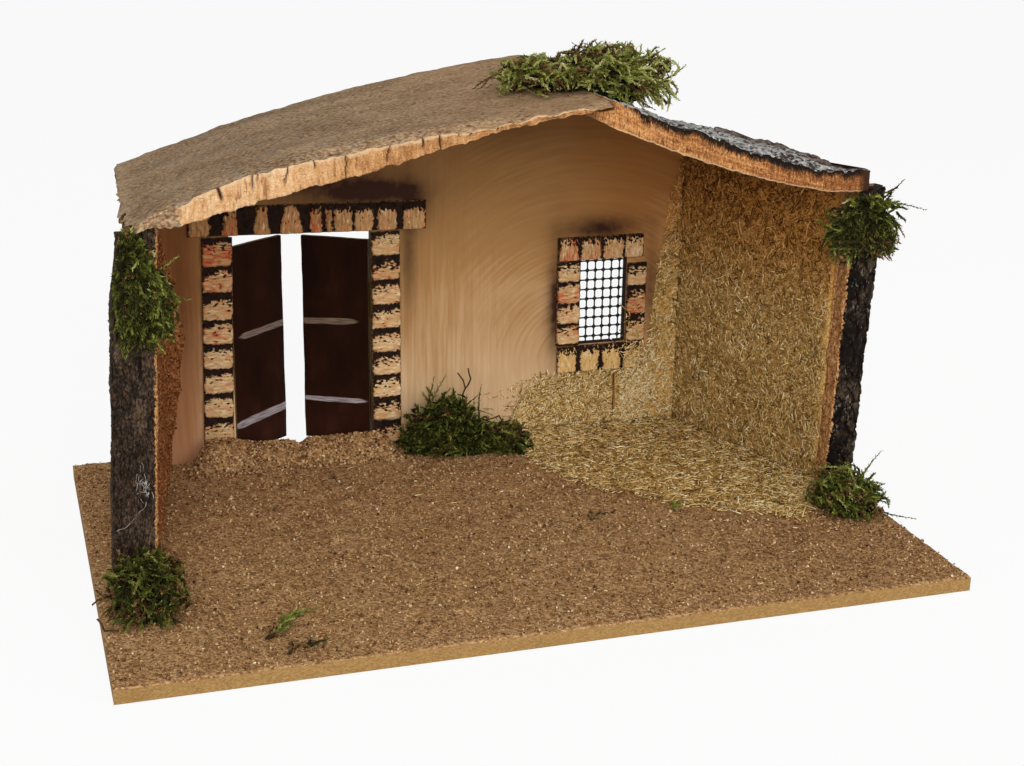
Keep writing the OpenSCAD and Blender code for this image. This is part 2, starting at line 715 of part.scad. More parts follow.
// A lumpy tuft round the origin, with half sizes r
clump_rings = 7;
clump_sides = 14;
function clump_k(i, j, s) = 1 + moss_lump * (vary(j * 3 + i, s) + sin(j * 720 / clump_sides + s * 50)) / 2;
module clump(r, s) {
    ring = [for (i = [1:clump_rings], j = [0:clump_sides - 1])
        let (t = 180 * i / (clump_rings + 1), a = 360 * j / clump_sides, k = clump_k(i, j, s))
        [r.x * k * sin(t) * cos(a), r.y * k * sin(t) * sin(a), -r.z * cos(t) * (0.9 + 0.1 * k)]];
    low = len(ring);
    polyhedron(concat(ring, [[0, 0, -r.z], [0, 0, r.z]]), concat(
        [for (i = [0:clump_rings - 2], j = [0:clump_sides - 1])
            let (c = i * clump_sides, m = (j + 1) % clump_sides) [c + j, c + clump_sides + j, c + m]],
        [for (i = [0:clump_rings - 2], j = [0:clump_sides - 1])
            let (c = i * clump_sides, m = (j + 1) % clump_sides)
            [c + m, c + clump_sides + j, c + clump_sides + m]],
        [for (j = [0:clump_sides - 1]) [low, j, (j + 1) % clump_sides]],
        [for (j = [0:clump_sides - 1]) let (c = (clump_rings - 1) * clump_sides)
            [c + (j + 1) % clump_sides, c + j, low + 1]]));
}

// The moss on the ridge rests on the tops of both slabs
function lowered(line) = [for (q = line) [q.x, base_t]];
module ridge_moss() {
    color(moss_green) difference() {
        translate([ridge_x + 8, post_y + 48, left_front_top(ridge_x)]) clump(ridge_moss_r, 3);
        lofted(lowered(left_line), left_tops);
        lofted(lowered(right_line), right_tops);
    }
}

// A tuft glued on the front of a post, below the roof
module post_tuft(x, z, r, s) {
    color(moss_green) intersection() {
        translate([x, post_face_y, z]) clump(r, s);
        upright(post_face_y - 2 * r.y, post_face_y - moss_gap) offset(delta = -moss_gap) under_roof();
    }
}

module left_eave_moss() {
    post_tuft(-room_front_l - 1, left_under(-room_front_l) - 35, left_eave_moss_r, 5);
}

module right_eave_moss() {
    post_tuft(room_front_r + 4, right_under(room_front_r) - 22, right_eave_moss_r, 8);
}

// A tuft that rests on the ground, in front of the plane y = back
module ground_tuft(x, y, r, s, back) {
    color(moss_green) intersection() {
        translate([x, y, ground_z]) clump(r, s);
        translate([x - 2 * r.x, back - 4 * r.y, ground_z]) cube([4 * r.x, 4 * r.y, 4 * r.z]);
    }
}

module left_foot_moss() {
    ground_tuft(left_foot_moss_at.x - room_front_l, post_face_y - left_foot_moss_at.y, left_foot_moss_r, 11,
        post_face_y - moss_gap);
}

module right_foot_moss() {
    ground_tuft(room_front_r + right_foot_moss_at.x, post_face_y - right_foot_moss_at.y, right_foot_moss_r,
        14, post_face_y - moss_gap);
}

module wall_moss() {
    ground_tuft(door_x1 + wall_moss_at.x, wall_y0 - wall_moss_at.y, wall_moss_r, 17,
        wall_y0 - back_hay_t - moss_gap);
}

// Small bits of moss on the ground: three near the left front corner and one by the hay
sprigs = concat([for (q = [sprig_a, sprig_b, sprig_c]) q - [base_w, base_d] / 2],
    [[sprig_d.x, post_y - sprig_d.y]]);
module ground_sprigs() {
    for (i = [0:len(sprigs) - 1])
        ground_tuft(sprigs[i].x, sprigs[i].y, sprig_r, 20 + i, sprigs[i].y + 2 * sprig_r.y);
}

base_board();
ground_cover();
threshold_mound();
back_wall();
left_side_wall();
right_side_wall();
left_wall_lining();
right_wall_hay();
back_wall_hay();
floor_hay();
left_bark_post();
right_bark_post();
left_roof_slab();
right_roof_slab();
door_lintel();
left_door_jamb();
right_door_jamb();
window_lintel();
window_left_jamb();
window_right_jamb();
window_sill();
window_net();
left_door();
right_door();
left_hinge_tapes();
right_hinge_tapes();
ridge_moss();
left_eave_moss();
right_eave_moss();
left_foot_moss();
right_foot_moss();
wall_moss();
ground_sprigs();
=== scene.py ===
# %% [markdown]
# # A nativity stable of cork, hay and moss
# The real one is made by hand: a fibreboard base strewn with cork granules, a painted back wall with a
# brick-framed door and window, two splayed side walls, two bark posts and a roof of two cork planks,
# dressed with hay and moss. The CAD model gives every piece its place, and this lesson gives every piece
# its real surface and finish. Lengths are in millimetres, as a maker reads them, and become metres only
# when a mesh is made.

# %% Load the frame
import json
import math

import bpy
import numpy as np
from mathutils import Matrix, Vector


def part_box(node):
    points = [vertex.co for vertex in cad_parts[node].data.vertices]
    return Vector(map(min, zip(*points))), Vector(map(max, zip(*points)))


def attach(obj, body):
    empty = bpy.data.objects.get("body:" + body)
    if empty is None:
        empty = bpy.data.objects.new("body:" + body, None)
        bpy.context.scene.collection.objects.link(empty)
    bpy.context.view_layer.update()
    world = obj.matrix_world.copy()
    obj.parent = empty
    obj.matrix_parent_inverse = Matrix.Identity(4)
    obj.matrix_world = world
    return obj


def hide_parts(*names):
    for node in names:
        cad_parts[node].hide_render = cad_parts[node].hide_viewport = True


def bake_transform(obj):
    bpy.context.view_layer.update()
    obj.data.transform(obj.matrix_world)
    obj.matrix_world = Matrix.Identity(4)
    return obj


MM = 0.001
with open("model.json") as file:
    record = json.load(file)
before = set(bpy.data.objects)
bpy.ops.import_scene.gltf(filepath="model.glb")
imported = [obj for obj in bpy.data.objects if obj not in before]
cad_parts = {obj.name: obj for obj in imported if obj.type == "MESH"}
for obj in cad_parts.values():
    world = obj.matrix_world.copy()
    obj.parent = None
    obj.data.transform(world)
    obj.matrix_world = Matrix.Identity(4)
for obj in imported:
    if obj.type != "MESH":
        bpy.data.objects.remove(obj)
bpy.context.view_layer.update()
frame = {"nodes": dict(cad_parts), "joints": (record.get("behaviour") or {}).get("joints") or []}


def box(node):
    """The lowest and the highest corner of a CAD node, in millimetres."""
    return [np.array(corner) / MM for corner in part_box(node)]


# %% [markdown]
# ## Camera
# A photograph's lens can be worked out from straight edges of known length, and here the base board's
# edges and the wall's corners gave it. The camera is then a turn (yaw), a tilt (pitch) and a slight lean
# (roll) at a known place.

# %% Camera
IMAGE_W = 1024
LENS_PIXELS = 1662.4
SENSOR_W = 36.0
CAMERA_AT = Vector((-288.9, -944.3, 423.9))
YAW = math.radians(17.77)
PITCH = math.radians(18.18)
ROLL = math.radians(0.85)

forward = Vector((math.sin(YAW) * math.cos(PITCH), math.cos(YAW) * math.cos(PITCH), -math.sin(PITCH)))
level = Vector((math.cos(YAW), -math.sin(YAW), 0))
steep = level.cross(forward)
right = math.cos(ROLL) * level + math.sin(ROLL) * steep
up = math.cos(ROLL) * steep - math.sin(ROLL) * level
camera_data = bpy.data.cameras.new("camera")
camera_data.sensor_fit = "HORIZONTAL"
camera_data.sensor_width = SENSOR_W
camera_data.lens = LENS_PIXELS * SENSOR_W / IMAGE_W
camera = bpy.data.objects.new("camera", camera_data)
camera.matrix_world = Matrix.Translation(CAMERA_AT * MM) @ Matrix((right, up, -forward)).transposed().to_4x4()
bpy.context.collection.objects.link(camera)
bpy.context.scene.camera = camera
print("Lens in millimetres:", round(camera_data.lens, 2))

# %% [markdown]
# ## Shader sums
# A finish is a tree of nodes, and trees are easier to read as sums. The first class wraps a socket so
# that `a * b` or `1 - mask` adds a Math node. The second is one material, with one method that makes any
# other node. Its patterns read the object's own coordinates, so they stay on a piece when it moves.

# %% Shader sums
MATT = 0.15


def tint(code):
    """A colour written as on screen, turned into the linear numbers that a shader works with."""
    shown = np.array([int(code[i:i + 2], 16) for i in (1, 3, 5)]) / 255
    linear = np.where(shown <= 0.04045, shown / 12.92, ((shown + 0.055) / 1.055) ** 2.4)
    return (*linear.tolist(), 1.0)


class Value:
    """A socket that can stand in a sum: each operator adds one Math node."""

    def __init__(self, finish, socket):
        self.finish = finish
        self.socket = socket

    def math(self, operation, first, second):
        return self.finish.node("Math", {"operation": operation}, {0: first, 1: second})

    def __add__(self, other):
        return self.math("ADD", self, other)

    def __mul__(self, other):
        return self.math("MULTIPLY", self, other)

    def __sub__(self, other):
        return self.math("SUBTRACT", self, other)

    def __rsub__(self, other):
        return self.math("SUBTRACT", other, self)

    def __truediv__(self, other):
        return self.math("DIVIDE", self, other)

    def __pow__(self, other):
        return self.math("POWER", self, other)

    def __rpow__(self, other):
        return self.math("POWER", other, self)

    __radd__ = __add__
    __rmul__ = __mul__


print("Mid grey on screen is", round(tint("#808080")[0], 3), "to a shader")

# %% One finish
class Finish:
    """One material: a Principled shader with its constants on its own sockets, and the nodes that feed it."""

    def __init__(self, name, **constants):
        self.material = bpy.data.materials.new(name)
        self.material.use_nodes = True
        self.tree = self.material.node_tree
        self.shader = self.tree.nodes["Principled BSDF"]
        self.shader.inputs["Specular IOR Level"].default_value = MATT
        for name, constant in constants.items():
            self.shader.inputs[name.replace("_", " ")].default_value = constant
        metres = self.node("TexCoord", out="Object")
        self.where = self.node("VectorMath", {"operation": "SCALE"}, {0: metres, "Scale": 1 / MM})
        split = [self.node("SeparateXYZ", {}, {0: self.where}, out=axis) for axis in range(3)]
        self.x, self.y, self.z = split

    def node(self, kind, settings={}, sockets={}, out=0):
        """Any node: first its settings, then its sockets' numbers, colours or links; gives one output."""
        made = self.tree.nodes.new("ShaderNode" + kind)
        for name, setting in settings.items():
            if name == "stops":
                elements = made.color_ramp.elements
                elements.remove(elements[1])
                for index, (place, code) in enumerate(setting):
                    element = elements.new(place) if index else elements[0]
                    element.position = place
                    element.color = tint(code)
            else:
                setattr(made, name, setting)
        for name, value in sockets.items():
            if isinstance(value, Value):
                self.tree.links.new(value.socket, made.inputs[name])
            else:
                made.inputs[name].default_value = tint(value) if isinstance(value, str) else value
        return Value(self, made.outputs[out])

    def feed(self, name, value):
        """Links a value to one of the shader's own sockets."""
        self.tree.links.new(value.socket, self.shader.inputs[name])

    def scaled(self, size, stretch, where):
        """Coordinates counted in blots: size millimetres to a blot, times the stretch along each axis."""
        return self.node("VectorMath", {"operation": "DIVIDE"},
                         {0: where or self.where, 1: [size * part for part in stretch]})

    def noise(self, size, detail=2.0, stretch=(1, 1, 1), where=None):
        """Soft random values round one half."""
        return self.node("TexNoise", {}, {"Vector": self.scaled(size, stretch, where), "Scale": 1.0,
                                          "Detail": detail}, out="Fac")

    def cells(self, size, stretch=(1, 1, 1), where=None, feature="F1"):
        """Distances in a pattern of random cells, for grains and cracks."""
        return self.node("TexVoronoi", {"feature": feature},
                         {"Vector": self.scaled(size, stretch, where), "Scale": 1.0}, out="Distance")

    def grains(self, size, stretch=(1, 1, 1)):
        """One random value for each cell of the same pattern."""
        sockets = {"Vector": self.scaled(size, stretch, None), "Scale": 1.0}
        shade = self.node("TexVoronoi", {}, sockets, out="Color")
        return self.node("SeparateColor", {}, {0: shade})

    def kept(self, name):
        """A number that the mesh keeps for each corner."""
        return self.node("Attribute", {"attribute_name": name}, out="Fac")

    def step(self, value, low, high):
        """Rises smoothly from 0 at low to 1 at high."""
        return self.node("MapRange", {"interpolation_type": "SMOOTHSTEP"},
                         {"Value": value, "From Min": low, "From Max": high})

    def ramp(self, value, *stops):
        """A colour that runs through the stops, pairs of a place from 0 to 1 and a colour."""
        return self.node("ValToRGB", {"stops": stops}, {0: value})

    def mix(self, mask, first, second, blend="MIX"):
        """The first colour where the mask is 0 and the second where it is 1."""
        settings = {"data_type": "RGBA", "blend_type": blend}
        return self.node("Mix", settings, {0: mask, 6: first, 7: second}, out=2)

    def bump(self, height, distance, strength=1.0):
        """Tilts the surface as if height stood out from it by distance millimetres."""
        self.feed("Normal", self.node("Bump", {}, {"Strength": strength, "Distance": distance * MM,
                                                   "Height": height}))


print("A finish can use noise, cells, grains, steps, ramps, mixes and bumps")

# %% [markdown]
# ## Stage and light
# The photograph has a plain white ground. The floor is pale and mostly shows its own white to the camera,
# while a share of it stays a lit surface that keeps the object's soft shadow. Two wide lamps and an even
# sky give the plain light of a product photograph, bright from the front and above.

# %% Stage and light
FLOOR_HALF = 20.0
WHITE_SHARE = 0.9
RAYS_SEEN = ("Is Camera Ray", "Is Glossy Ray", "Is Transmission Ray")


def to_lens(finish):
    """1 for rays that show the floor directly, in a mirror or through glass, and 0 for the light it gives."""
    seen = [finish.node("LightPath", out=name) for name in RAYS_SEEN]
    return seen[0] + seen[1] + seen[2]


floor_finish = Finish("studio_floor", Base_Color=tint("#ebebe9"), Roughness=0.9)
floor_white = floor_finish.node("Emission", {}, {"Color": "#ffffff", "Strength": 1.0})
floor_mix = floor_finish.node("MixShader", {}, {0: to_lens(floor_finish) * WHITE_SHARE, 2: floor_white})
floor_finish.tree.links.new(floor_finish.shader.outputs[0], floor_mix.socket.node.inputs[1])
floor_finish.tree.links.new(floor_mix.socket, floor_finish.tree.nodes["Material Output"].inputs["Surface"])
floor_mesh = bpy.data.meshes.new("studio_floor")
floor_corners = [(-FLOOR_HALF, -FLOOR_HALF, 0), (FLOOR_HALF, -FLOOR_HALF, 0),
                 (FLOOR_HALF, FLOOR_HALF, 0), (-FLOOR_HALF, FLOOR_HALF, 0)]
floor_mesh.from_pydata(floor_corners, [], [(0, 1, 2, 3)])
floor_mesh.materials.append(floor_finish.material)
floor = bpy.data.objects.new("studio_floor", floor_mesh)
bpy.context.collection.objects.link(floor)
print("The floor is", 2 * FLOOR_HALF, "metres wide")

# %% Sky
SKY = 0.5
world = bpy.data.worlds.new("studio_sky")
bpy.context.scene.world = world
world.use_nodes = True
sky = world.node_tree
sky_seen = sky.nodes.new("ShaderNodeBackground")
sky_seen.inputs["Color"].default_value = tint("#ffffff")
sky_lit = sky.nodes["Background"]
sky_lit.inputs["Color"].default_value = tint("#ffffff")
sky_lit.inputs["Strength"].default_value = SKY
sky_path = sky.nodes.new("ShaderNodeLightPath")
sky_mix = sky.nodes.new("ShaderNodeMixShader")
sky.links.new(sky_path.outputs["Is Camera Ray"], sky_mix.inputs[0])
sky.links.new(sky_lit.outputs[0], sky_mix.inputs[1])
sky.links.new(sky_seen.outputs[0], sky_mix.inputs[2])
sky.links.new(sky_mix.outputs[0], sky.nodes["World Output"].inputs["Surface"])
bpy.context.scene.view_settings.view_transform = "Standard"
print("The sky lights at", SKY)


# %% Lamps
def lamp(name, at, aim, side, power):
    """A square lamp with the given side, turned so that it shines from its place to the aim."""
    data = bpy.data.lights.new(name, "AREA")
    data.size = side
    data.energy = power
    made = bpy.data.objects.new(name, data)
    turn = (Vector(aim) - Vector(at)).to_track_quat("-Z", "Y").to_matrix().to_4x4()
    made.matrix_world = Matrix.Translation(Vector(at)) @ turn
    bpy.context.collection.objects.link(made)


AIM = (0.0, 0.05, 0.1)
lamp("key_lamp", (-0.6, -2.2, 1.25), AIM, 1.6, 40.0)
lamp("fill_lamp", (1.3, -1.8, 0.7), AIM, 1.0, 16.0)
print("Two lamps are set")

# %% [markdown]
# ## Surfaces from numbers
# Cork, bark, hay and moss are all random, but each in its own way. So the next cells hold the tools: a
# smooth random field to shape surfaces with, a small class for corners and faces, and a function that
# turns them into a mesh which rides on a body of the model. Whole arrays are worked out at once, so half
# a million corners take a second or two.

# %% Random fields
def lattice(cells, seed):
    """A repeatable random number from 0 to 1 for each whole-number cell, by mixing the bits of its
    coordinates."""
    mixed = cells[..., 0] * 374761393 + cells[..., 1] * 668265263
    mixed = mixed + cells[..., 2] * 1442695041 + seed * 1274126177
    mixed = (mixed ^ (mixed >> 13)) * 1103515245
    mixed = (mixed ^ (mixed >> 17)) * 1274126177
    return ((mixed ^ (mixed >> 15)) & 0xFFFF) / 65535.0


def blots(size, seed, *axes):
    """Smooth random values from -1 to 1: random numbers on a lattice of the given size (one number, or
    one for each axis), blended by smoothstep along each axis."""
    sizes = np.broadcast_to(size, len(axes))
    level = (0.5,) if len(axes) < 3 else ()
    points = np.stack(np.broadcast_arrays(*axes, *level), axis=-1)
    points = points / np.append(sizes, 1.0)[:3]
    cell = np.floor(points).astype(np.int64)
    part = points - cell
    part = part * part * (3 - 2 * part)
    total = 0
    for corner in np.ndindex(2, 2, 2):
        weight = np.prod(np.where(corner, part, 1 - part), axis=-1)
        total = total + weight * lattice(cell + np.array(corner), seed)
    return 2 * total - 1


def rough(size, seed, *axes, layers=3):
    """Layers of blots, each half as large and half as strong as the one before."""
    return sum(blots(np.array(size) / 2 ** k, seed + k, *axes) / 2 ** k for k in range(layers))


def plates(size, seed, a, b):
    """Bark plates: for each point, how much further the second nearest of the jittered lattice points is
    than the nearest one. It is 0 in a crack and grows towards the middle of a plate."""
    a = a / size[0]
    b = b / size[1]
    near = np.full((2,) + a.shape, 9.0)
    for step_a, step_b in np.ndindex(3, 3):
        cell = np.stack([np.floor(a) + step_a - 1, np.floor(b) + step_b - 1, 0 * a], axis=-1).astype(np.int64)
        gap = np.hypot(cell[..., 0] + lattice(cell, seed) - a, cell[..., 1] + lattice(cell, seed + 7) - b)
        near = np.sort(np.concatenate([near, gap[None]]), axis=0)[:2]
    return near[1] - near[0]


def smooth(low, high, value):
    """Rises from 0 at low to 1 at high by smoothstep."""
    t = np.clip((value - low) / (high - low), 0, 1)
    return t * t * (3 - 2 * t)


def unit(vectors):
    """The same directions with length 1."""
    return vectors / np.linalg.norm(vectors, axis=-1, keepdims=True)


print("Four blots in a row:", np.round(blots(5.0, 1, 5.0 * np.arange(4), np.zeros(4)), 2).tolist())


# %% Corners and faces
class Shape:
    """Corners in millimetres, faces as arrays of corner numbers, and named numbers for each corner."""

    def __init__(self, corners, faces, **values):
        self.corners = np.reshape(corners, (-1, 3))
        self.faces = [np.asarray(part) for part in faces]
        self.values = {name: np.ravel(numbers) for name, numbers in values.items()}

    def __add__(self, other):
        shifted = [part + len(self.corners) for part in other.faces]
        values = {name: np.concatenate([self.values[name], other.values[name]]) for name in self.values}
        return Shape(np.concatenate([self.corners, other.corners]), self.faces + shifted, **values)

    def outward(self):
        """The same solid with its faces turned out: a solid's volume, summed over its faces, is above 0."""
        volume = 0.0
        for part in self.faces:
            points = self.corners[part]
            crosses = np.cross(points[:, 1:-1], points[:, 2:])
            volume += (points[:, :1] * crosses).sum()
        if volume < 0:
            self.faces = [part[:, ::-1] for part in self.faces]
        return self


def joined(shapes):
    """Several shapes as one."""
    return sum(shapes[1:], shapes[0])


def quads(rows, columns, around=False):
    """Faces of a grid of corners, each from a corner to the next one in its row and to the next row."""
    numbers = np.arange(rows * columns).reshape(rows, columns)
    if around:
        numbers = np.concatenate([numbers, numbers[:, :1]], axis=1)
    faces = [numbers[:-1, :-1], numbers[:-1, 1:], numbers[1:, 1:], numbers[1:, :-1]]
    return np.stack(faces, axis=-1).reshape(-1, 4)


def rim_numbers(rows, columns):
    """Corner numbers, once round the rim of a grid."""
    numbers = np.arange(rows * columns).reshape(rows, columns)
    return np.concatenate([numbers[0, :-1], numbers[:-1, -1], numbers[-1, :0:-1], numbers[:0:-1, 0]])


def crust(front, back, **values):
    """A closed solid from a grid of front points: the rim is carried to the back points, and one face
    closes it."""
    rows, columns = front.shape[:2]
    rim = rim_numbers(rows, columns)
    low = rows * columns + np.arange(len(rim))
    skirt = np.stack([rim, low, np.roll(low, -1), np.roll(rim, -1)], axis=1)
    corners = np.concatenate([front.reshape(-1, 3), back.reshape(-1, 3)[rim]])
    values = {name: np.append(np.ravel(numbers), np.ravel(numbers)[rim]) for name, numbers in values.items()}
    return Shape(corners, [quads(rows, columns), skirt, low[None, ::-1]], **values).outward()


def lofted(loops, **values):
    """A closed solid through a row of closed outlines, with a fan of triangles over each end."""
    rows, columns = loops.shape[:2]
    numbers = np.arange(rows * columns).reshape(rows, columns)
    hub = np.full(columns, rows * columns)
    first = np.stack([hub, np.roll(numbers[0], -1), numbers[0]], axis=1)
    last = np.stack([hub + 1, numbers[-1], np.roll(numbers[-1], -1)], axis=1)
    corners = np.concatenate([loops.reshape(-1, 3), loops[[0, -1]].mean(axis=1)])
    values = {name: np.append(numbers, numbers[[0, -1]].mean(axis=1)) for name, numbers in values.items()}
    return Shape(corners, [quads(rows, columns, around=True), first, last], **values).outward()


print("A grid of 3 by 4 corners has", len(quads(3, 4)), "faces")


# %% Pieces of the model
def put_piece(name, shape, finish, replaces=(), body="stable", rounded=True):
    """Turns a shape into a mesh piece that rides on a body and stands in for the CAD nodes named."""
    mesh = bpy.data.meshes.new(name)
    mesh.vertices.add(len(shape.corners))
    mesh.vertices.foreach_set("co", (shape.corners * MM).ravel())
    sizes = np.concatenate([np.full(len(part), part.shape[1]) for part in shape.faces])
    numbers = np.concatenate([part.ravel() for part in shape.faces])
    mesh.loops.add(len(numbers))
    mesh.loops.foreach_set("vertex_index", numbers.astype(np.int32))
    mesh.polygons.add(len(sizes))
    mesh.polygons.foreach_set("loop_start", np.append(0, np.cumsum(sizes)[:-1]).astype(np.int32))
    mesh.polygons.foreach_set("use_smooth", np.full(len(sizes), rounded))
    for key, numbers in shape.values.items():
        mesh.attributes.new(key, "FLOAT", "POINT").data.foreach_set("value", numbers.astype(np.float32))
    mesh.update(calc_edges=True)
    mesh.validate()
    mesh.materials.append(finish.material)
    piece = bpy.data.objects.new(name, mesh)
    bpy.context.collection.objects.link(piece)
    if body:
        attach(piece, body)
    if replaces:
        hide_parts(*replaces)
    print(name, "has", int((sizes - 2).sum()), "triangles")
    return piece


def dress(node, finish):
    """Gives a CAD node, which stays as it is, its finish."""
    mesh = frame["nodes"][node].data
    mesh.materials.clear()
    mesh.materials.append(finish.material)
    print(node, "wears", finish.material.name)


# %% [markdown]
# ## Crumbs and stalks
# Cork, crumb and hay lie about by the thousand. A shape that is repeated so often has to be very plain,
# so a crumb is a gem of eight faces and a stalk is a bent rod of three sides. Their copies differ in
# size, turn and shade, and all copies go into one mesh.

# %% Crumbs and stalks
GEM = np.array([[1, 0, 0], [-1, 0, 0], [0, 1, 0], [0, -1, 0], [0, 0, 1], [0, 0, -1]], float)
GEM_FACES = np.array([[0, 2, 4], [2, 1, 4], [1, 3, 4], [3, 0, 4], [2, 0, 5], [1, 2, 5], [3, 1, 5], [0, 3, 5]])
STALK_FACES = [quads(3, 3, around=True)[:, ::-1], np.array([[0, 1, 2], [8, 7, 6]])]


def copies(faces, count, corners):
    """The faces of one small shape, repeated for each of its copies."""
    return (faces[None] + corners * np.arange(count)[:, None, None]).reshape(-1, faces.shape[1])


def crumbs(places, sizes, rng, **values):
    """Granules: eight-faced gems whose corners are pulled in or out, each squeezed, turned and put in its
    place."""
    count = len(places)
    first = unit(rng.normal(size=(count, 3)))
    second = unit(np.cross(first, rng.normal(size=(count, 3))))
    turns = np.stack([first, second, np.cross(first, second)], axis=-1)
    corners = GEM * rng.uniform(0.6, 1.2, (count, 6, 1)) * rng.uniform(0.6, 1.1, (count, 1, 3))
    corners = np.einsum("nij,nkj->nki", turns, corners * sizes[:, None, None] / 2) + places[:, None]
    values = {name: np.repeat(numbers, 6) for name, numbers in values.items()}
    return Shape(corners, [copies(GEM_FACES, count, 6)], **values)


def stalks(places, along, lengths, widths, bends, rng, **values):
    """Cut stalks: three-sided rods in two lengths. A corner is the place, plus the way along the rod,
    plus a bend to one side that is greatest at the middle, plus the half width at the corner's angle."""
    count = len(places)
    side = unit(np.cross(along, rng.normal(size=(count, 3))))
    top = np.cross(along, side)
    t = np.array([-0.5, 0.0, 0.5])[None, :, None]
    angle = (np.arange(3) * 2 * np.pi / 3)[None, :, None]
    path = places[:, None] + along[:, None] * lengths[:, None, None] * t
    path = path + side[:, None] * bends[:, None, None] * (1 - 4 * t * t)
    ring = side[:, None] * np.cos(angle) + top[:, None] * np.sin(angle)
    corners = path[:, :, None] + ring[:, None] * widths[:, None, None, None] / 2
    values = {name: np.repeat(numbers, 9) for name, numbers in values.items()}
    return Shape(corners, [copies(part, count, 9) for part in STALK_FACES], **values)


print("Crumbs have", len(GEM_FACES), "faces each")

# %% [markdown]
# ## Fibreboard base
# The base is a sawn fibreboard whose edges show: ochre, matt and faintly fibrous. The CAD board has the
# right form, so it stays, and the finish draws the pressed layers as noise that is stretched along the
# edges.

# %% Fibreboard base
GROUND = box("threshold_mound")[0][2]
BASE_LOW, BASE_HIGH = box("base_board")


def fibreboard_finish():
    """Pressed fibres: fine noise in flat layers, darker blots where hands and glue have been."""
    f = Finish("fibreboard", Roughness=0.82)
    layers = f.noise(0.9, 4.0, (1.6, 1.6, 0.8))
    wear = f.noise(28.0, 3.0)
    board = f.ramp(layers, (0.3, "#85643a"), (0.5, "#987545"), (0.7, "#a68655"))
    f.feed("Base Color", f.mix(f.step(wear, 0.5, 0.8) * 0.35, board, "#7c5d32"))
    f.bump(layers, 0.25)
    return f


fibreboard = fibreboard_finish()
dress("base_board", fibreboard)

# %% [markdown]
# ## Cork ground
# Granules of cork are strewn on glue, so the ground is a rough skin with loose grains standing on it. The
# skin is a height field over the board, raised in low patches as in the CAD model. The grains that
# catch the light are thousands of tiny gems, spread at random but kept off the walls and posts, and small
# where the doors swing over them. Their colours run from dark bark to pale cork.

# %% Cork ground
WALL_FRONT = box("back_wall")[0][1]
WALL_BACK = box("back_wall")[1][1]
POST_BACK = box("left_bark_post")[1][1]
POST_FRONT = box("left_bark_post")[0][1]
ROOM_BACK = (-187.0, 190.0)
ROOM_FRONT = (-212.0, 233.0)
PATCH_FIELDS = (((-109.0, -145.4), (179.0, -88.0)), ((-165.0, -67.0), (34.0, 75.0)))
PATCH_PITCH, PATCH_R, PATCH_H = 28.0, 9.24, 1.0
CORK_SHADES = ((0.0, "#352112"), (0.14, "#69472a"), (0.42, "#997149"), (0.74, "#b99365"), (0.93, "#d4b389"),
               (1.0, "#f2e0c0"))


def cork_ground_finish():
    """Grains as random cells: each cell has its own shade, and the bump rounds it."""
    f = Finish("cork_granules", Roughness=0.92)
    worn = f.noise(40.0, 2.0) * 0.25 - f.step(f.x, 60.0, 240.0) * 0.1
    shade = f.grains(1.4) * 0.62 + f.noise(0.9, 2.0) * 0.35 + worn - 0.1
    f.feed("Base Color", f.ramp(shade, *CORK_SHADES))
    f.bump(1 - f.cells(1.4), 0.5)
    return f


def grain_finish(name, shades):
    """Loose grains, leaves or stalks: each keeps its own shade in the mesh, with a little noise over it."""
    f = Finish(name, Roughness=0.9)
    f.feed("Base Color", f.ramp(f.kept("shade") + (f.noise(0.8, 1.0) - 0.5) * 0.25, *shades))
    return f


def side_face(y, side):
    """The x of a side wall's inner face: a straight line from the back corner to the front corner."""
    t = (WALL_FRONT - y) / (WALL_FRONT - POST_BACK)
    return ROOM_BACK[side] + (ROOM_FRONT[side] - ROOM_BACK[side]) * t


def field(low, high, pitch):
    """A grid of x and y over a rectangle, with cells of about the given pitch."""
    counts = [int(round((high[k] - low[k]) / pitch)) + 1 for k in range(2)]
    return np.meshgrid(*[np.linspace(low[k], high[k], counts[k]) for k in range(2)], indexing="ij")


def vary(number, salt):
    """The CAD model's own repeatable numbers from -1 to 1: the sine of a large angle in degrees."""
    return math.sin(math.radians(number * 137.5 + salt * 71.3))


def patch_rise(x, y):
    """How much higher the granules lie in patches: low flat-topped cones, scattered round a lattice."""
    rise = 0 * x
    for low, high in PATCH_FIELDS:
        counts = [int((high[k] - low[k]) / PATCH_PITCH) + 1 for k in range(2)]
        for i, j in np.ndindex(*counts):
            if vary(3 * i + 7 * j, 2) > -0.4:
                radius = PATCH_R * (1 + 0.3 * vary(i + 2 * j, 4))
                away_x = x - low[0] - PATCH_PITCH * (i + 0.22 * vary(i, j))
                away_y = y - low[1] - PATCH_PITCH * (j + 0.22 * vary(j, i + 5))
                inside = (radius - np.hypot(away_x, away_y)) / (0.65 * radius)
                rise = np.maximum(rise, np.clip(1.5 * inside - 0.5, 0, PATCH_H))
    return rise


rng = np.random.default_rng(11)
x, y = field(BASE_LOW, BASE_HIGH, 1.7)
rim = np.minimum.reduce([x - BASE_LOW[0], BASE_HIGH[0] - x, y - BASE_LOW[1], BASE_HIGH[1] - y])
z = GROUND - 0.4 + 0.5 * rough(5.0, 3, x, y) + patch_rise(x, y) - 0.5 * smooth(3, 0, rim)
top = np.stack([x, y, z], axis=-1)
bottom = np.stack([x, y, 0 * z + BASE_HIGH[2]], axis=-1)
cork_ground = cork_ground_finish()
put_piece("cork_ground", crust(top, bottom), cork_ground, ["ground_cover"])

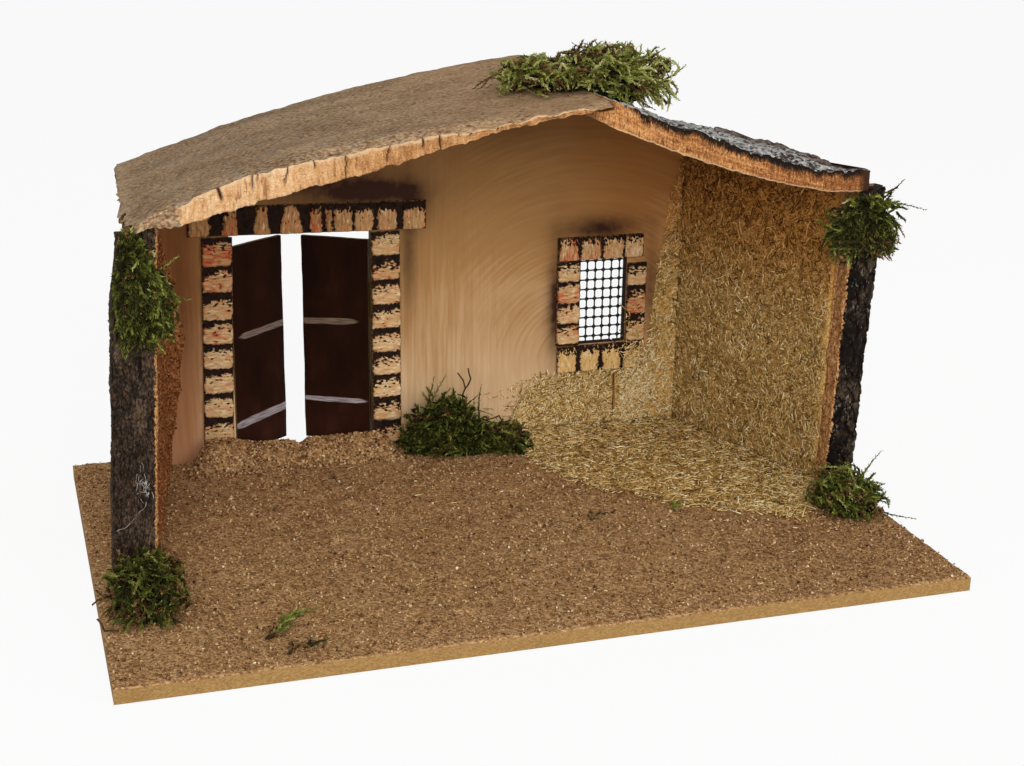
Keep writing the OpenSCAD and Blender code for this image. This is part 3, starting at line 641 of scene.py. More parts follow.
# %% Loose grains
GRAINS, SWEPT_GRAIN, LARGEST_GRAIN = 26000, 1.1, 3.4
spots = rng.uniform(BASE_LOW[:2] + 0.5, BASE_HIGH[:2] - 0.5, (GRAINS, 2))
in_walls = (spots[:, 1] > POST_FRONT - 1) & (spots[:, 1] < WALL_BACK) & (
    (spots[:, 0] < side_face(spots[:, 1], 0)) & (spots[:, 0] > side_face(spots[:, 1], 0) - 26)
    | (spots[:, 0] > side_face(spots[:, 1], 1) - 4) & (spots[:, 0] < side_face(spots[:, 1], 1) + 18))
in_walls |= (spots[:, 1] > WALL_FRONT) & (spots[:, 1] < WALL_BACK) & (np.abs(spots[:, 0] - 1.5) < 196)
spots = spots[~in_walls]
largest = np.where(spots[:, 1] > WALL_BACK, SWEPT_GRAIN, LARGEST_GRAIN)
sizes = rng.gamma(9.0, 0.17, len(spots)).clip(0.8, largest)
places = np.column_stack([spots, GROUND - 0.3 + patch_rise(*spots.T) + 0.25 * sizes])
cork_grains = grain_finish("cork_grains", CORK_SHADES)
grains = crumbs(places, sizes, rng, shade=rng.beta(1.4, 1.6, len(spots)))
put_piece("loose_grains", grains, cork_grains, rounded=False)

# %% [markdown]
# ## Heap at the door
# Coarser chips lie along the door sill, banked up against the foot of the left jamb. The heap's height is
# a bell-shaped crest along x, with one dip at the gap between the doors, times a quarter sine from its
# front edge up to the wall. Chips lie all over it.

# %% Heap at the door
HEAP_LOW, HEAP_HIGH = box("threshold_mound")
HEAP_CREST = HEAP_HIGH[2] - GROUND
HEAP_SILL = 13.5
PEAK_X = -152.75
PEAK_SPREAD = 17.0
HEAP_FADE = 12.0
DIP_X, DIP_SPREAD, DIP = -96.5, 5.0, 4.0


def heap_height(x, y):
    """Height over the ground: a low ridge with one bell-shaped peak and one dip, faded at both ends,
    times a quarter sine from its front edge to the wall."""
    crest = HEAP_SILL + (HEAP_CREST - HEAP_SILL) * np.exp(-((x - PEAK_X) / PEAK_SPREAD) ** 2)
    crest = crest - DIP * np.exp(-((x - DIP_X) / DIP_SPREAD) ** 2)
    ends = np.clip(np.minimum(x - HEAP_LOW[0], HEAP_HIGH[0] - x) / HEAP_FADE + 0.05, 0, 1)
    return crest * ends * np.sin(np.pi / 2 * np.clip((y - HEAP_LOW[1]) / (HEAP_HIGH[1] - HEAP_LOW[1]), 0, 1))


x, y = field(HEAP_LOW, HEAP_HIGH, 1.2)
z = GROUND + heap_height(x, y) * (0.88 + 0.2 * rough(5.0, 5, x, y))
heap = crust(np.stack([x, y, z], axis=-1), np.stack([x, y, 0 * z + GROUND - 1], axis=-1))
put_piece("sill_heap", heap, cork_ground, ["threshold_mound"])
CHIPS = 3400
spots = rng.uniform(HEAP_LOW[:2] - [4, 6], HEAP_HIGH[:2] - [-4, 1], (CHIPS, 2))
sizes = rng.uniform(1.2, 3.4, len(spots))
places = np.column_stack([spots, GROUND + 0.88 * heap_height(*spots.T) + 0.25 * sizes])
chips = crumbs(places, sizes, rng, shade=rng.beta(1.4, 1.9, len(spots)))
put_piece("heap_chips", chips, cork_grains, rounded=False)

# %% [markdown]
# ## Painted walls
# The back wall was brushed in ochre: upright strokes at the left and sweeping ones over the window, with
# a dark glaze sprayed round the lintel, the jambs and the window. The paint darkens upwards, partly by
# its own gradient and partly as painted shade under the roof, and two wide blots high under the roof are
# painted shadow of the roof. The CAD board stays, because its outline and openings are right. The strokes
# are noise stretched along the brush, and each blot is a bell curve round a place on the wall. Two washes
# tint the far left and the right. The side boards are bare, smeared with leftover paint.

# %% Painted walls
# Each blot of glaze or painted roof shadow: its x and z, half its width and height, and its strength.
# The wide blots high under the roof, at z 203 and 238, are painted shadow of the roof; the rest are glaze.
GLAZE_AND_ROOF_SHADOW = ((-38, 192.5, 32, 9, 0.95), (-78, 203, 62, 22, 0.95), (-16, 150, 6, 42, 0.75),
         (-10, 180, 12, 16, 0.6), (126, 159, 30, 9, 1.15), (93, 104, 7, 42, 1.25),
         (166, 112, 7, 38, 0.85), (-172, 120, 10, 60, 0.45), (40, 238, 100, 14, 0.3))
WINDOW_X, WINDOW_Z, REVEAL = (110.0, 148.0), (72.0, 137.0), 0.6
RAW_CORK = ((0.34, "#6a4425"), (0.46, "#aa7848"), (0.58, "#c49260"), (0.72, "#d8ae7f"))
BRUSH_X, BRUSH_Z = 110, 60
LEFT_WASH, RIGHT_WASH = "#dcbdae", "#ffe8cd"


def between(f, value, low, high):
    """1 from low to high, falling to 0 at both ends."""
    return f.step(value, low, low + REVEAL) * (1 - f.step(value, high - REVEAL, high))


def painted_wall_finish():
    """Ochre paint: a height gradient, darker upwards and partly painted shade under the roof, two sets of
    strokes, and bell-shaped blots of dark glaze and of painted roof shadow; bare board behind."""
    f = Finish("painted_board", Roughness=0.75)
    upright_strokes = f.noise(1.7, 4.0, (1, 1, 22))
    far_x = f.x - BRUSH_X
    far_z = f.z - BRUSH_Z
    radius = (far_x * far_x + far_z * far_z) ** 0.5
    bow = f.node("CombineXYZ", {}, {0: radius, 1: f.x * 0.06, 2: f.z * 0.06})
    swept_strokes = f.noise(2.4, 4.0, (1, 1, 1), bow)
    swept = f.step(f.x + f.z * 0.35, 40.0, 120.0)
    strokes = upright_strokes * (1 - swept) + swept_strokes * swept
    # Darker upwards: partly the paint's own gradient, partly painted shade under the roof.
    height = f.z / 270 + (f.noise(45.0, 2.0) - 0.5) * 0.3 + (strokes - 0.5) * 0.5
    height = height - f.step(f.x, 90.0, 185.0) * 0.16
    paint = f.ramp(height, (0.08, "#ccab84"), (0.3, "#bb966c"), (0.5, "#a47b4b"), (0.72, "#9a7143"),
                   (0.95, "#8d6437"))
    paint = f.mix(1 - f.step(f.x, -172.0, -150.0), paint, LEFT_WASH, "MULTIPLY")
    paint = f.mix(f.step(f.x, 70.0, 165.0), paint, RIGHT_WASH, "MULTIPLY")
    # Dark glaze round the openings, and painted shadow of the roof from the blots high under it.
    glaze_and_roof_shadow = 0
    for at_x, at_z, wide, tall, strength in GLAZE_AND_ROOF_SHADOW:
        near_x = (f.x - at_x) / wide
        near_z = (f.z - at_z) / tall
        glaze_and_roof_shadow = glaze_and_roof_shadow + strength * math.e ** (0 - near_x * near_x - near_z * near_z)
    paint = f.mix(glaze_and_roof_shadow * (0.6 + 0.5 * f.noise(5.0, 3.0)), paint, "#341b10")
    bare = f.ramp(f.noise(2.0, 5.0), (0.35, "#6d5636"), (0.65, "#8a7048"))
    in_window = between(f, f.x, *WINDOW_X) * between(f, f.z, *WINDOW_Z)
    bare = f.mix(in_window, bare, "#2e1c12")
    f.feed("Base Color", f.mix(f.step(f.y, WALL_FRONT + 0.6, WALL_FRONT + 0.9), paint, bare))
    f.bump(strokes, 0.22)
    return f


def bare_board_finish():
    """The side boards: brown board, smeared with leftover paint."""
    f = Finish("bare_board", Roughness=0.8)
    smear = f.noise(14.0, 4.0, (1, 1, 5))
    grain = f.noise(1.5, 4.0)
    board = f.ramp(grain, (0.35, "#86653d"), (0.65, "#a78555"))
    board = f.mix(f.step(smear, 0.5, 0.62) * 0.6, board, "#7a5434")
    raw_end = f.ramp(f.noise(1.3, 5.0), *RAW_CORK)
    f.feed("Base Color", f.mix(1 - f.step(f.y, POST_BACK + 0.5, POST_BACK + 1.5), board, raw_end))
    f.bump(grain, 0.2)
    return f


dress("back_wall", painted_wall_finish())
bare_board = bare_board_finish()
dress("left_side_wall", bare_board)
dress("right_side_wall", bare_board)

# %% [markdown]
# ## Roof lines
# Both cork planks are bent, so the walls, posts and linings all end at the same two curves. Each curve
# gives the underside's height over x, and each plank's top is a second height, which differs along the
# front and the back.

# %% Roof lines
EAVE_LEFT, RIDGE_X = box("left_roof_slab")[0][0], box("left_roof_slab")[1][0]
HEAD_X, EAVE_RIGHT = box("right_roof_slab")[0][0], box("right_roof_slab")[1][0]
ROOF_FRONT, ROOF_BACK = box("left_roof_slab")[0][1], box("left_roof_slab")[1][1]
BARK_LUMP, BARK_PITCH, BARK_LEAN = 2.5, 42.0, 0.3


def left_share(x):
    """How far x is along the left plank, from 0 at the eave to 1 at the ridge."""
    return (x - EAVE_LEFT) / (RIDGE_X - EAVE_LEFT)


def right_share(x):
    """How far x is along the right plank, from 0 at the ridge to 1 at the eave."""
    return (x - HEAD_X) / (EAVE_RIGHT - HEAD_X)


def left_under(x):
    """Underside of the left plank: a straight slope with a bow on it."""
    u = left_share(x)
    return 210 + 62 * u + 18 * u * (1 - u)


def left_top(x, v):
    """Top of the left plank; v runs from 0 at the front edge, thick near the eave, to 1 at the back edge."""
    u = left_share(x)
    front = 3.5 + 84.4 * u * (1 - u) ** 2
    back = 2.5 + 7 * u + 18 * u * (1 - u)
    return left_under(x) + front * (1 - v) + back * v


def right_under(x):
    """Underside of the right plank: a straight slope that sags, with its tip curled up."""
    u = right_share(x)
    return 265 - 54 * u - 28 * u * (1 - u) + 4 * np.maximum(0, 5 * u - 4) ** 2


def right_top(x, v):
    """Top of the right plank: a little lower along the back, and lumpy, by two crossed sine waves, off
    its head."""
    u = right_share(x)
    y = ROOF_FRONT + (ROOF_BACK - ROOF_FRONT) * v
    waves = np.sin(np.pi * (x + BARK_LEAN * y) / BARK_PITCH)
    waves = waves * np.sin(np.pi * (y - BARK_LEAN * x) / BARK_PITCH)
    level = right_under(x) + 15 - 3 * u + 14 * u * (1 - u) - 5 * v * np.minimum(1, 3 * u)
    return level + BARK_LUMP * np.clip(4 * u - 1, 0, 1) * waves


def roof_under(x):
    """The roof's underside over the whole room, level beyond the eaves."""
    x = np.clip(x, EAVE_LEFT, EAVE_RIGHT)
    return np.where(x < HEAD_X, left_under(x), right_under(x))


heights = left_under(RIDGE_X), left_under(EAVE_LEFT), right_under(EAVE_RIGHT)
print("Ridge and eaves stand at", np.round(heights, 1))

# %% [markdown]
# ## Left plank of the roof
# This is a plank of virgin cork with its smooth side up: grey-brown, flecked, and broken along the front,
# where the fresh orange cork shows with fine upright lines and dark cracks. The section is an outline
# that goes over the top, down the front, back under and up behind. It is carried along the slope, noise
# breaks its edges, and the front lip hangs a little.

# %% Left plank of the roof
EDGE_SHARE = 0.05


def section(across, face):
    """The way round a plank's section: depth v from 1 at the back to 0 at the front, and height w from 1
    to 0."""
    over, under = np.linspace(1, 0, across, endpoint=False), np.linspace(0, 1, across // 2, endpoint=False)
    down, behind = np.linspace(1, 0, face, endpoint=False), np.linspace(0, 1, face // 2, endpoint=False)
    v = np.concatenate([over, 0 * down, under, 0 * behind + 1])
    w = np.concatenate([0 * over + 1, down, 0 * under, behind])
    return v[None, :], w[None, :]


def plank_edges(v, w):
    """How far a point is out on the front face, how near it is to the front edge (1) or the back edge
    (-1), and its y."""
    on_face = (v == 0) * 4 * w * (1 - w)
    near_edge = np.where(v < 0.5, 1, -1) * np.clip(1 - np.minimum(v, 1 - v) / EDGE_SHARE, 0, 1)
    return on_face, near_edge, ROOF_FRONT + (ROOF_BACK - ROOF_FRONT) * v


def crack(x, z, at, lean, width):
    """1 in a crack that crosses the face at x = at and leans by the given slope, and 0 beside it."""
    wander = 1.1 * blots(3.5, 19, z, 0 * z + at)
    return smooth(width, 0.2 * width, np.abs(x - at - lean * z - wander))


LEFT_CRACKS = ((-169, -0.3, 1.4), (-145.4, 0.1, 0.8), (-148.5, 0.0, 0.7), (-128, 0.2, 0.6), (-113, 0.1, 0.6),
               (-95.6, 0.0, 0.6), (-70, 0.1, 0.6), (-49.6, 0.1, 0.9), (-40, 0.0, 0.8), (-28.8, 0.1, 0.7),
               (-22.3, 0.0, 0.8), (-4.8, 0.1, 0.8), (3.6, 0.0, 0.8), (28.5, 0.4, 1.0))
FACE_START = (-194.0, -186.0)
LIP_DROOP, LIP_SHRINK = 4.5, 2.8
u = np.linspace(0, 1, 380)[:, None]
v, w = section(76, 16)
on_face, near_edge, plank_y = plank_edges(v, w)
start = EAVE_LEFT + 11 * v + 7 * np.clip(1 - v / 0.07, 0, 1)
start = start + 2.6 * rough(7.0, 21, plank_y, 0 * v, layers=4) + 1.5
start = start + 1.2 * blots(1.7, 25, plank_y, 3 * w)
x = start + (RIDGE_X - start) * u
y = plank_y + (1.2 + rough((14, 6), 22, x, 9 * w)) * near_edge
under, over = left_under(x), left_top(x, v)
droop = LIP_DROOP * smooth(-212, -185, x) * smooth(0, -80, x)
shrunk = LIP_SHRINK * smooth(-150, -105, x) * smooth(30, -30, x)
jagged = smooth(0.06, 0, v) * (1 - w) * (1.4 - droop + 1.6 * rough((5.0, 2.0), 23, x, y, layers=4))
jagged = jagged - smooth(0.06, 0, v) * w * (1.2 + shrunk + 1.8 * rough((9.0, 3.0), 20, x, y, layers=4))
crusty = smooth(-60, 20, x) * on_face * rough((5, 3), 27, x, 14 * w)
z = under + w * (over - under) + jagged
z = z + (w == 1) * (1.2 * rough((40, 25), 24, x, y) + 0.35 * rough((5, 3), 26, x, y))
patchy = smooth(0.25, 0.6, w + 0.8 * blots(6.0, 29, x, 0 * w))
gash = sum(crack(x, z - over, *one) for one in LEFT_CRACKS) * (v < 0.02) * patchy
y = y + 2.6 * gash * on_face + 0.9 * on_face * rough((3.0, 5.0), 28, x, 12 * w) - 1.6 * crusty
cut = (w < 1) * np.where(v == 0, smooth(*FACE_START, x + 3 * rough(6.0, 30, x, 12 * w)), 1)
frayed = smooth(9, 0, x - start) + 0 * w
kept = dict(cut=cut, layer=w + 0 * x, gash=np.clip(gash, 0, 1), frayed=frayed)
left_plank = lofted(np.stack([x, y, z], axis=-1), **kept)
print("The left plank is", round(float(x.max() - x.min())), "mm long in plan")


# %% Finish of the left plank
def plank_top_finish():
    """Weathered cork above, fresh cork on the broken edges, with dark cracks, stains and a frayed pale
    end."""
    f = Finish("weathered_cork", Roughness=0.85)
    flecks = (1 - f.step(f.cells(4.4, (1.7, 0.7, 1)), 0.14, 0.3)) * f.step(f.noise(7.0, 2.0), 0.4, 0.5)
    age = 0.25 + f.noise(26.0, 4.0, (1.6, 1, 1)) * 0.5 + (f.noise(1.6, 3.0, (1.4, 0.8, 1)) - 0.5) * 1.3
    old = f.ramp(age, (0.28, "#70543a"), (0.5, "#9a7d5d"), (0.74, "#c2a582"))
    blue = f.step(f.noise(6.0, 4.0, (1.8, 0.9, 1)), 0.53, 0.66) * (1 - f.step(f.x, -150.0, -20.0))
    old = f.mix(blue * 0.4, old, "#8d8b86")
    pale = f.step(f.noise(3.0, 4.0, (2.5, 0.8, 1)), 0.6, 0.7)
    old = f.mix(pale * 0.55, old, "#c9ad88")
    old = f.mix(f.step(f.x, -90.0, 40.0) * 0.35, old, "#b8926a")
    old = f.mix(flecks * 0.75, old, "#5c3b24")
    tone = f.noise(0.9, 4.0) * 0.5 + f.noise(2.2, 3.0, (1, 1, 4)) * 0.5 + (f.noise(14.0, 2.0) - 0.5) * 0.3
    tone = tone + 0.1 - f.step(f.x, -150.0, -60.0) * 0.16
    fresh = f.ramp(tone, (0.34, "#93633a"), (0.48, "#ba8958"), (0.6, "#cda072"), (0.74, "#e0bf95"))
    stains = f.step(f.noise(2.6, 3.0, (1, 1, 5)), 0.58, 0.68)
    fresh = f.mix(stains * 0.6, fresh, "#7d4a29")
    near_top = f.kept("layer") + (f.noise(1.5, 2.0) - 0.5) * 0.3
    fresh = f.mix(f.step(near_top, 0.75, 0.95) * 0.6, fresh, "#dcc09a")
    fresh = f.mix(f.kept("gash"), fresh, "#2c180c")
    both = f.mix(f.step(f.kept("cut") + (f.noise(2.0, 2.0) - 0.5) * 0.6, 0.35, 0.65), old, fresh)
    fray = f.kept("frayed") * f.step(f.noise(2.0, 3.0, (2, 0.6, 1)), 0.42, 0.6)
    f.feed("Base Color", f.mix(fray * 0.8, both, "#c4a782"))
    f.bump(f.noise(1.2, 4.0, (1.3, 1, 1)) - flecks * 0.5, 1.0)
    return f


put_piece("left_cork_plank", left_plank, plank_top_finish(), ["left_roof_slab"])

# %% [markdown]
# ## Right plank of the roof
# The other plank lies bark side up. Its sawn front shows growth lines, short dark pores and a thin pale
# lower edge. The bark on top is lumpy, black where it is broken and grey where lichen grew. The same
# outline is used, with strong noise on top, and its head is thinned so that it goes under the end of the
# left plank.

# %% Right plank of the roof
u = np.linspace(0, 1, 240)[:, None]
v, w = section(80, 18)
on_face, near_edge, plank_y = plank_edges(v, w)
end = EAVE_RIGHT - 11 * v + 1.6 * rough(9.0, 31, plank_y, 5 * w, layers=4)
x = HEAD_X + (end - HEAD_X) * u
y = plank_y + (1.2 + rough((16, 6), 32, x, 9 * w)) * near_edge
lumps = 1.3 * rough((13, 13), 33, x, y, layers=4) - 1.5 * smooth(0.25, 0.0, plates((11, 13), 34, x, y))
lumps = lumps + 0.7 * rough(3.0, 38, x, y)
over = right_top(x, v) + lumps * smooth(0, 0.12, u)
over = np.where(x < RIDGE_X + 0.8, np.minimum(over, left_under(np.minimum(x, RIDGE_X)) - 0.4), over)
under = right_under(x)
z = under + w * (over - under) + smooth(0.05, 0, v) * (1 - w) * 0.8 * rough((4.0, 2.0), 35, x, y)
furry = smooth(0.7, 1, w) * (v == 0) * blots((1.6, 1.0), 37, x, 12 * w)
y = y + on_face * 0.9 * rough((4, 3), 36, x, 16 * w) - furry
cut = (w < 1) * np.ones_like(x)
right_plank = lofted(np.stack([x, y, z], axis=-1), cut=cut, layer=w + 0 * x, lump=lumps, share=u + 0 * w)
print("The right plank is", round(float(x.max() - x.min())), "mm long in plan")


# %% Finish of the right plank
def bark_plank_finish():
    """Sawn cork on the edges with growth lines along it; black and grey bark above, with a furry border."""
    f = Finish("bark_cork", Roughness=0.88)
    layer = f.kept("layer")
    share = f.kept("share")
    wavy = f.node("CombineXYZ", {}, {0: f.x * 0.05, 1: f.y * 0.2, 2: layer * 9})
    growth = f.noise(1.0, 3.0, (1, 1, 1), wavy)
    tone = (growth - 0.5) * 0.5 + f.noise(1.0, 4.0) * 0.6 + f.noise(1.8, 3.0, (0.8, 1, 4)) * 0.4
    # Darker towards the eave: painted shade on the sawn face.
    tone = tone + 0.02 - share * 0.17
    sawn = f.ramp(tone, (0.34, "#7d4b27"), (0.46, "#a46e3e"), (0.58, "#c18b56"), (0.74, "#d9ac7b"))
    ticks = f.step(f.noise(1.6, 2.0, (0.7, 1, 3.2)), 0.57, 0.64)
    sawn = f.mix(ticks * 0.75, sawn, "#552f18")
    sawn = f.mix((1 - f.step(layer, 0.02, 0.09)) * 0.6, sawn, "#d6b48a")
    grey = f.step(f.noise(4.0, 5.0) + f.kept("lump") * 0.07, 0.4, 0.56)
    bark = f.mix(grey * 0.9, f.ramp(f.noise(2.0, 4.0), (0.35, "#241d17"), (0.65, "#4d4239")), "#b8b5b0")
    bark = f.mix(f.step(f.noise(2.6, 3.0), 0.56, 0.67) * 0.8, bark, "#dddbd8")
    bark = f.mix(f.step(share, 0.86, 0.98) * 0.75, bark, "#4a2a1a")
    border = layer + (f.noise(1.0, 4.0, (0.7, 1, 2.6)) - 0.5) * 0.6 + (f.noise(16.0, 2.0) - 0.5) * 0.5
    border = border - (1 - f.step(share, 0.05, 0.16)) * 0.5
    rind = f.mix(f.step(border, 0.58, 0.78), sawn, "#4a2a14")
    rind = f.mix(f.step(border, 0.72, 0.86), rind, "#15100b")
    rind = f.mix(f.step(share, 0.955, 0.985), rind, "#3a2216")
    covered = f.step(f.kept("cut") + 1 - f.step(share, 0.045, 0.06), 0.2, 0.5)
    f.feed("Base Color", f.mix(covered, bark, rind))
    f.bump(f.noise(1.5, 5.0), 0.8)
    return f


put_piece("right_cork_plank", right_plank, bark_plank_finish(), ["right_roof_slab"])

# %% [markdown]
# ## Bark posts
# A strip of bark closes the front end of each side wall: small upright scales on the left one, blocky
# plates on the right one. The left one is chipped at its top outer corner. The section is flat behind and
# rounded in front. Each point goes out or in along its own face by a bark pattern that is unrolled round
# the strip, and the inner edge shows the raw orange cork.

# %% Bark posts
RAW_REACH = 3.0
CHIP_Z = (165.0, 212.0)


def bark_post(foot_x, width, tilt, inner, relief, chipped):
    """A bark strip: round the section, back, one side, front and other side; up the strip, with each
    point's height a share of the way from the base to the roof, and the whole leaning by the tilt. The
    outer edge is chipped away towards the top."""
    back, side = np.linspace(1, 0, 14, endpoint=False), np.linspace(0, 1, 12, endpoint=False)
    front = np.linspace(0, 1, 70, endpoint=False)
    a = np.concatenate([back, 0 * side, front, 0 * side + 1])
    depth = np.concatenate([0 * back, side, 0 * front + 1, 1 - side])
    crown = 0.8 + 0.2 * np.sin(np.pi * a)
    out_x = np.where(depth > 0, np.where(a == 0, -1.0, np.where(a == 1, 1.0, 0)), 0) * (depth < 1)
    out_y = -(depth >= 1).astype(float)
    steps = np.hypot(np.diff(a, prepend=a[-1]) * width, np.diff(depth, prepend=0) * (POST_BACK - POST_FRONT))
    unrolled = np.cumsum(steps)
    t = np.linspace(0, 1, 260)[:, None]
    top = roof_under(foot_x + a * width + 195 * tilt) - 0.3
    z = BASE_HIGH[2] + t * (top - BASE_HIGH[2])[None]
    raised = relief(unrolled[None], z)
    x = foot_x + a * width + (z - BASE_HIGH[2]) * tilt + raised * out_x
    y = POST_BACK - depth * crown * (POST_BACK - POST_FRONT) + raised * out_y
    to_inner = width * np.where(inner > 0, 1 - a, a)
    x = x + inner * chipped * to_inner / width * smooth(*CHIP_Z, z)
    rim = 0.75 * smooth(RAW_REACH, 0, to_inner)
    raw = np.where((out_x == inner) | (depth == 0), 1.0, rim) * np.ones_like(z)
    return lofted(np.stack([x, y, z], axis=-1), raised=raised, raw=raw)


def fine_scales(s, z):
    """Small upright scales with shallow cracks between them, over long low ribs and a few deeper fissures."""
    plate = plates((3.0, 6.0), 41, s + 1.4 * rough(4.0, 42, s, z), z + 2.5 * rough(5.0, 40, s, z))
    fissure = smooth(0.5, 0.9, rough((4.0, 22.0), 39, s, z))
    scales = 0.6 * rough((1.6, 2.6), 44, s, z) - 1.0 * smooth(0.16, 0.0, plate)
    return 0.5 + 0.9 * rough((7, 20), 43, s, z, layers=4) + scales - 1.6 * fissure


def blocky_plates(s, z):
    """Plates with cracks between them, each swollen in the middle, on larger lumps."""
    plate = plates((9.0, 12.0), 45, s + 3.2 * rough(7.0, 46, s, z), z + 4.0 * rough(9.0, 49, s, z))
    lumps = 2.2 * rough((13, 17), 47, s, z, layers=4) + 0.8 * rough(2.6, 48, s, z)
    return lumps - 2.0 * smooth(0.14, 0.0, plate)


LEFT_TILT, RIGHT_TILT = math.tan(math.radians(2.8)), math.tan(math.radians(2.3))
LEFT_FOOT_X, LEFT_W, LEFT_CHIP = -237.0, 25.0, 3.5
RIGHT_FOOT_X, RIGHT_W = 229.0, 20.0
left_post = bark_post(LEFT_FOOT_X, LEFT_W, LEFT_TILT, 1.0, fine_scales, LEFT_CHIP)
right_post = bark_post(RIGHT_FOOT_X, RIGHT_W, RIGHT_TILT, -1.0, blocky_plates, 0.0)
print("Each post has", len(left_post.corners), "corners")


# %% Finish of the posts
def bark_finish(name, dark, mid, pale, fleck):
    """Grey-brown bark, nearly black in its cracks, paler where it stands out, and raw cork on the inner
    edge."""
    f = Finish(name, Roughness=0.9)
    fine = f.noise(1.1, 4.0, (1, 1, 1.8))
    height = f.kept("raised") * 0.2 + (fine - 0.5) * 1.1 + f.noise(14.0, 2.0, (1, 1, 2)) * 0.4 + 0.32
    bark = f.ramp(height, (0.15, "#0f0a06"), (0.42, dark), (0.62, mid), (0.9, pale))
    flecks = f.step(f.noise(1.5, 3.0, (1, 1, 3)), 0.6, 0.68) * f.step(f.noise(20.0, 2.0), 0.4, 0.6)
    bark = f.mix(flecks * 0.7, bark, fleck)
    raw = f.ramp(f.noise(1.3, 5.0), *RAW_CORK)
    f.feed("Base Color", f.mix(f.step(f.kept("raw") + (f.noise(2.4, 4.0) - 0.5) * 1.6, 0.45, 0.6), bark, raw))
    f.bump(f.noise(1.0, 5.0, (1, 1, 1.8)), 0.9)
    return f


grey_bark = bark_finish("grey_bark", "#211811", "#3b2e24", "#635241", "#6e4629")
put_piece("left_post_bark", left_post, grey_bark, ["left_bark_post"])
dark_bark = bark_finish("dark_bark", "#140c06", "#241910", "#4f4232", "#8b857b")
put_piece("right_post_bark", right_post, dark_bark, ["right_bark_post"])

# %% [markdown]
# ## Glue threads on the left post
# Hot glue pulls into threads, and a tangle of them stuck to the left post, with one long tail. Threads
# are the same rods as stalks, only thinner: short ones scattered round a place, and a chain of them along
# the tail.

# %% Glue threads on the left post
TAIL = np.array([(-216.5, 51.0), (-218.0, 47.0), (-223.0, 43.0), (-226.0, 39.0), (-230.0, 35.5),
                 (-234.5, 34.5)])
TANGLE_AT, TANGLE_SPREAD, TANGLE = (-217.5, 60.0), (1.7, 4.5), 30
THREAD_Y, THREAD_W = POST_FRONT - 0.6, 0.32
middles = rng.normal(TANGLE_AT, TANGLE_SPREAD, (TANGLE, 2))
ways = rng.normal(0, 1, (TANGLE, 2)) * [2.2, 3.6]
middles = np.concatenate([middles, (TAIL[1:] + TAIL[:-1]) / 2])
ways = np.concatenate([ways, TAIL[1:] - TAIL[:-1]])
span = np.linalg.norm(ways, axis=1)


def glue_finish():
    """Dried glue: pale, a little dusty."""
    f = Finish("glue_thread", Roughness=0.5)
    f.feed("Base Color", f.ramp(f.noise(2.0, 2.0), (0.35, "#847e77"), (0.65, "#cdc8c2")))
    return f


level = np.full(len(span), THREAD_Y)
places = np.column_stack([middles[:, 0], level, middles[:, 1]])
along = unit(np.column_stack([ways[:, 0], 0 * level, ways[:, 1]]))
threads = stalks(places, along, span, np.full(len(span), THREAD_W), 0.1 * span, rng)
put_piece("glue_threads", threads, glue_finish())

# %% [markdown]
# ## Crumb on the left wall
# Reddish cork crumb is glued over the left board and swells a little way onto the back wall. The skin is
# a height field on the splayed board, and crumbs stand on it.

# %% Crumb on the left wall
CRUMB_SHADES = ((0.0, "#42210f"), (0.35, "#744323"), (0.65, "#975f34"), (1.0, "#c0895a"))
SPILL_Z = (9.5, 15.0, 47.0, 98.0, 140.0, 166.0, 172.0)
SPILL_X = (-185.7, -185.5, -179.3, -172.0, -177.0, -184.7, -186.0)
CRUMB_T, SPILL_TOP = 2.5, 172.0
SKIN_CRUMBS, SPILL_CRUMBS = 5200, 900


def wall_skin(side, thickness):
    """A skin on a side board: y along the board, height as a share of the way to the roof, and a given
    thickness."""
    s, t = np.meshgrid(np.linspace(0, 1, 90), np.linspace(0, 1, 120), indexing="ij")
    y = WALL_FRONT - 0.2 - (WALL_FRONT - POST_BACK - 0.4) * s
    face = side_face(y, side)
    z = GROUND + t * (roof_under(face) - 1.0 - GROUND)
    inward = 1 if side == 0 else -1
    front = np.stack([face + inward * thickness(y, z), y, z], axis=-1)
    return front, np.stack([face, y, z], axis=-1)


def crumb_finish():
    """Crumb: small random cells in reddish browns."""
    f = Finish("cork_crumb", Roughness=0.92)
    f.feed("Base Color", f.ramp(f.grains(1.7) * 0.6 + f.noise(4.0, 4.0) * 0.5 - 0.05, *CRUMB_SHADES))
    f.bump(1 - f.cells(1.7), 0.9)
    return f


front, back = wall_skin(0, lambda y, z: CRUMB_T * (0.75 + 0.3 * rough(5.0, 51, y, z)))
crumb_skin = crust(front, back)
t, across = np.meshgrid(np.linspace(0, 1, 100), np.linspace(0, 1, 14), indexing="ij")
z = GROUND + (SPILL_TOP - GROUND) * t
wide = np.interp(z, SPILL_Z, SPILL_X) - ROOM_BACK[0] - 1 + 1.2 * rough(9.0, 52, z, 0 * z)
x = ROOM_BACK[0] + 1 + wide * across
y = WALL_FRONT - 0.7 * CRUMB_T * (1 - across ** 2) * (0.8 + 0.3 * rough(4.0, 53, x, z)) - 0.15
spill = crust(np.stack([x, y, z], axis=-1), np.stack([x, 0 * y + WALL_FRONT, z], axis=-1))
crumb = crumb_finish()
put_piece("crumb_lining", crumb_skin + spill, crumb, ["left_wall_lining"])
pick = rng.integers(0, front.shape[0] * front.shape[1], SKIN_CRUMBS)
pick_spill = rng.integers(0, x.size, SPILL_CRUMBS)
places = np.concatenate([front.reshape(-1, 3)[pick], np.stack([x, y, z], axis=-1).reshape(-1, 3)[pick_spill]])
places = places + rng.normal(0, 0.5, places.shape) * [0.4, 1, 1]
sizes = rng.uniform(1.0, 2.6, len(places))
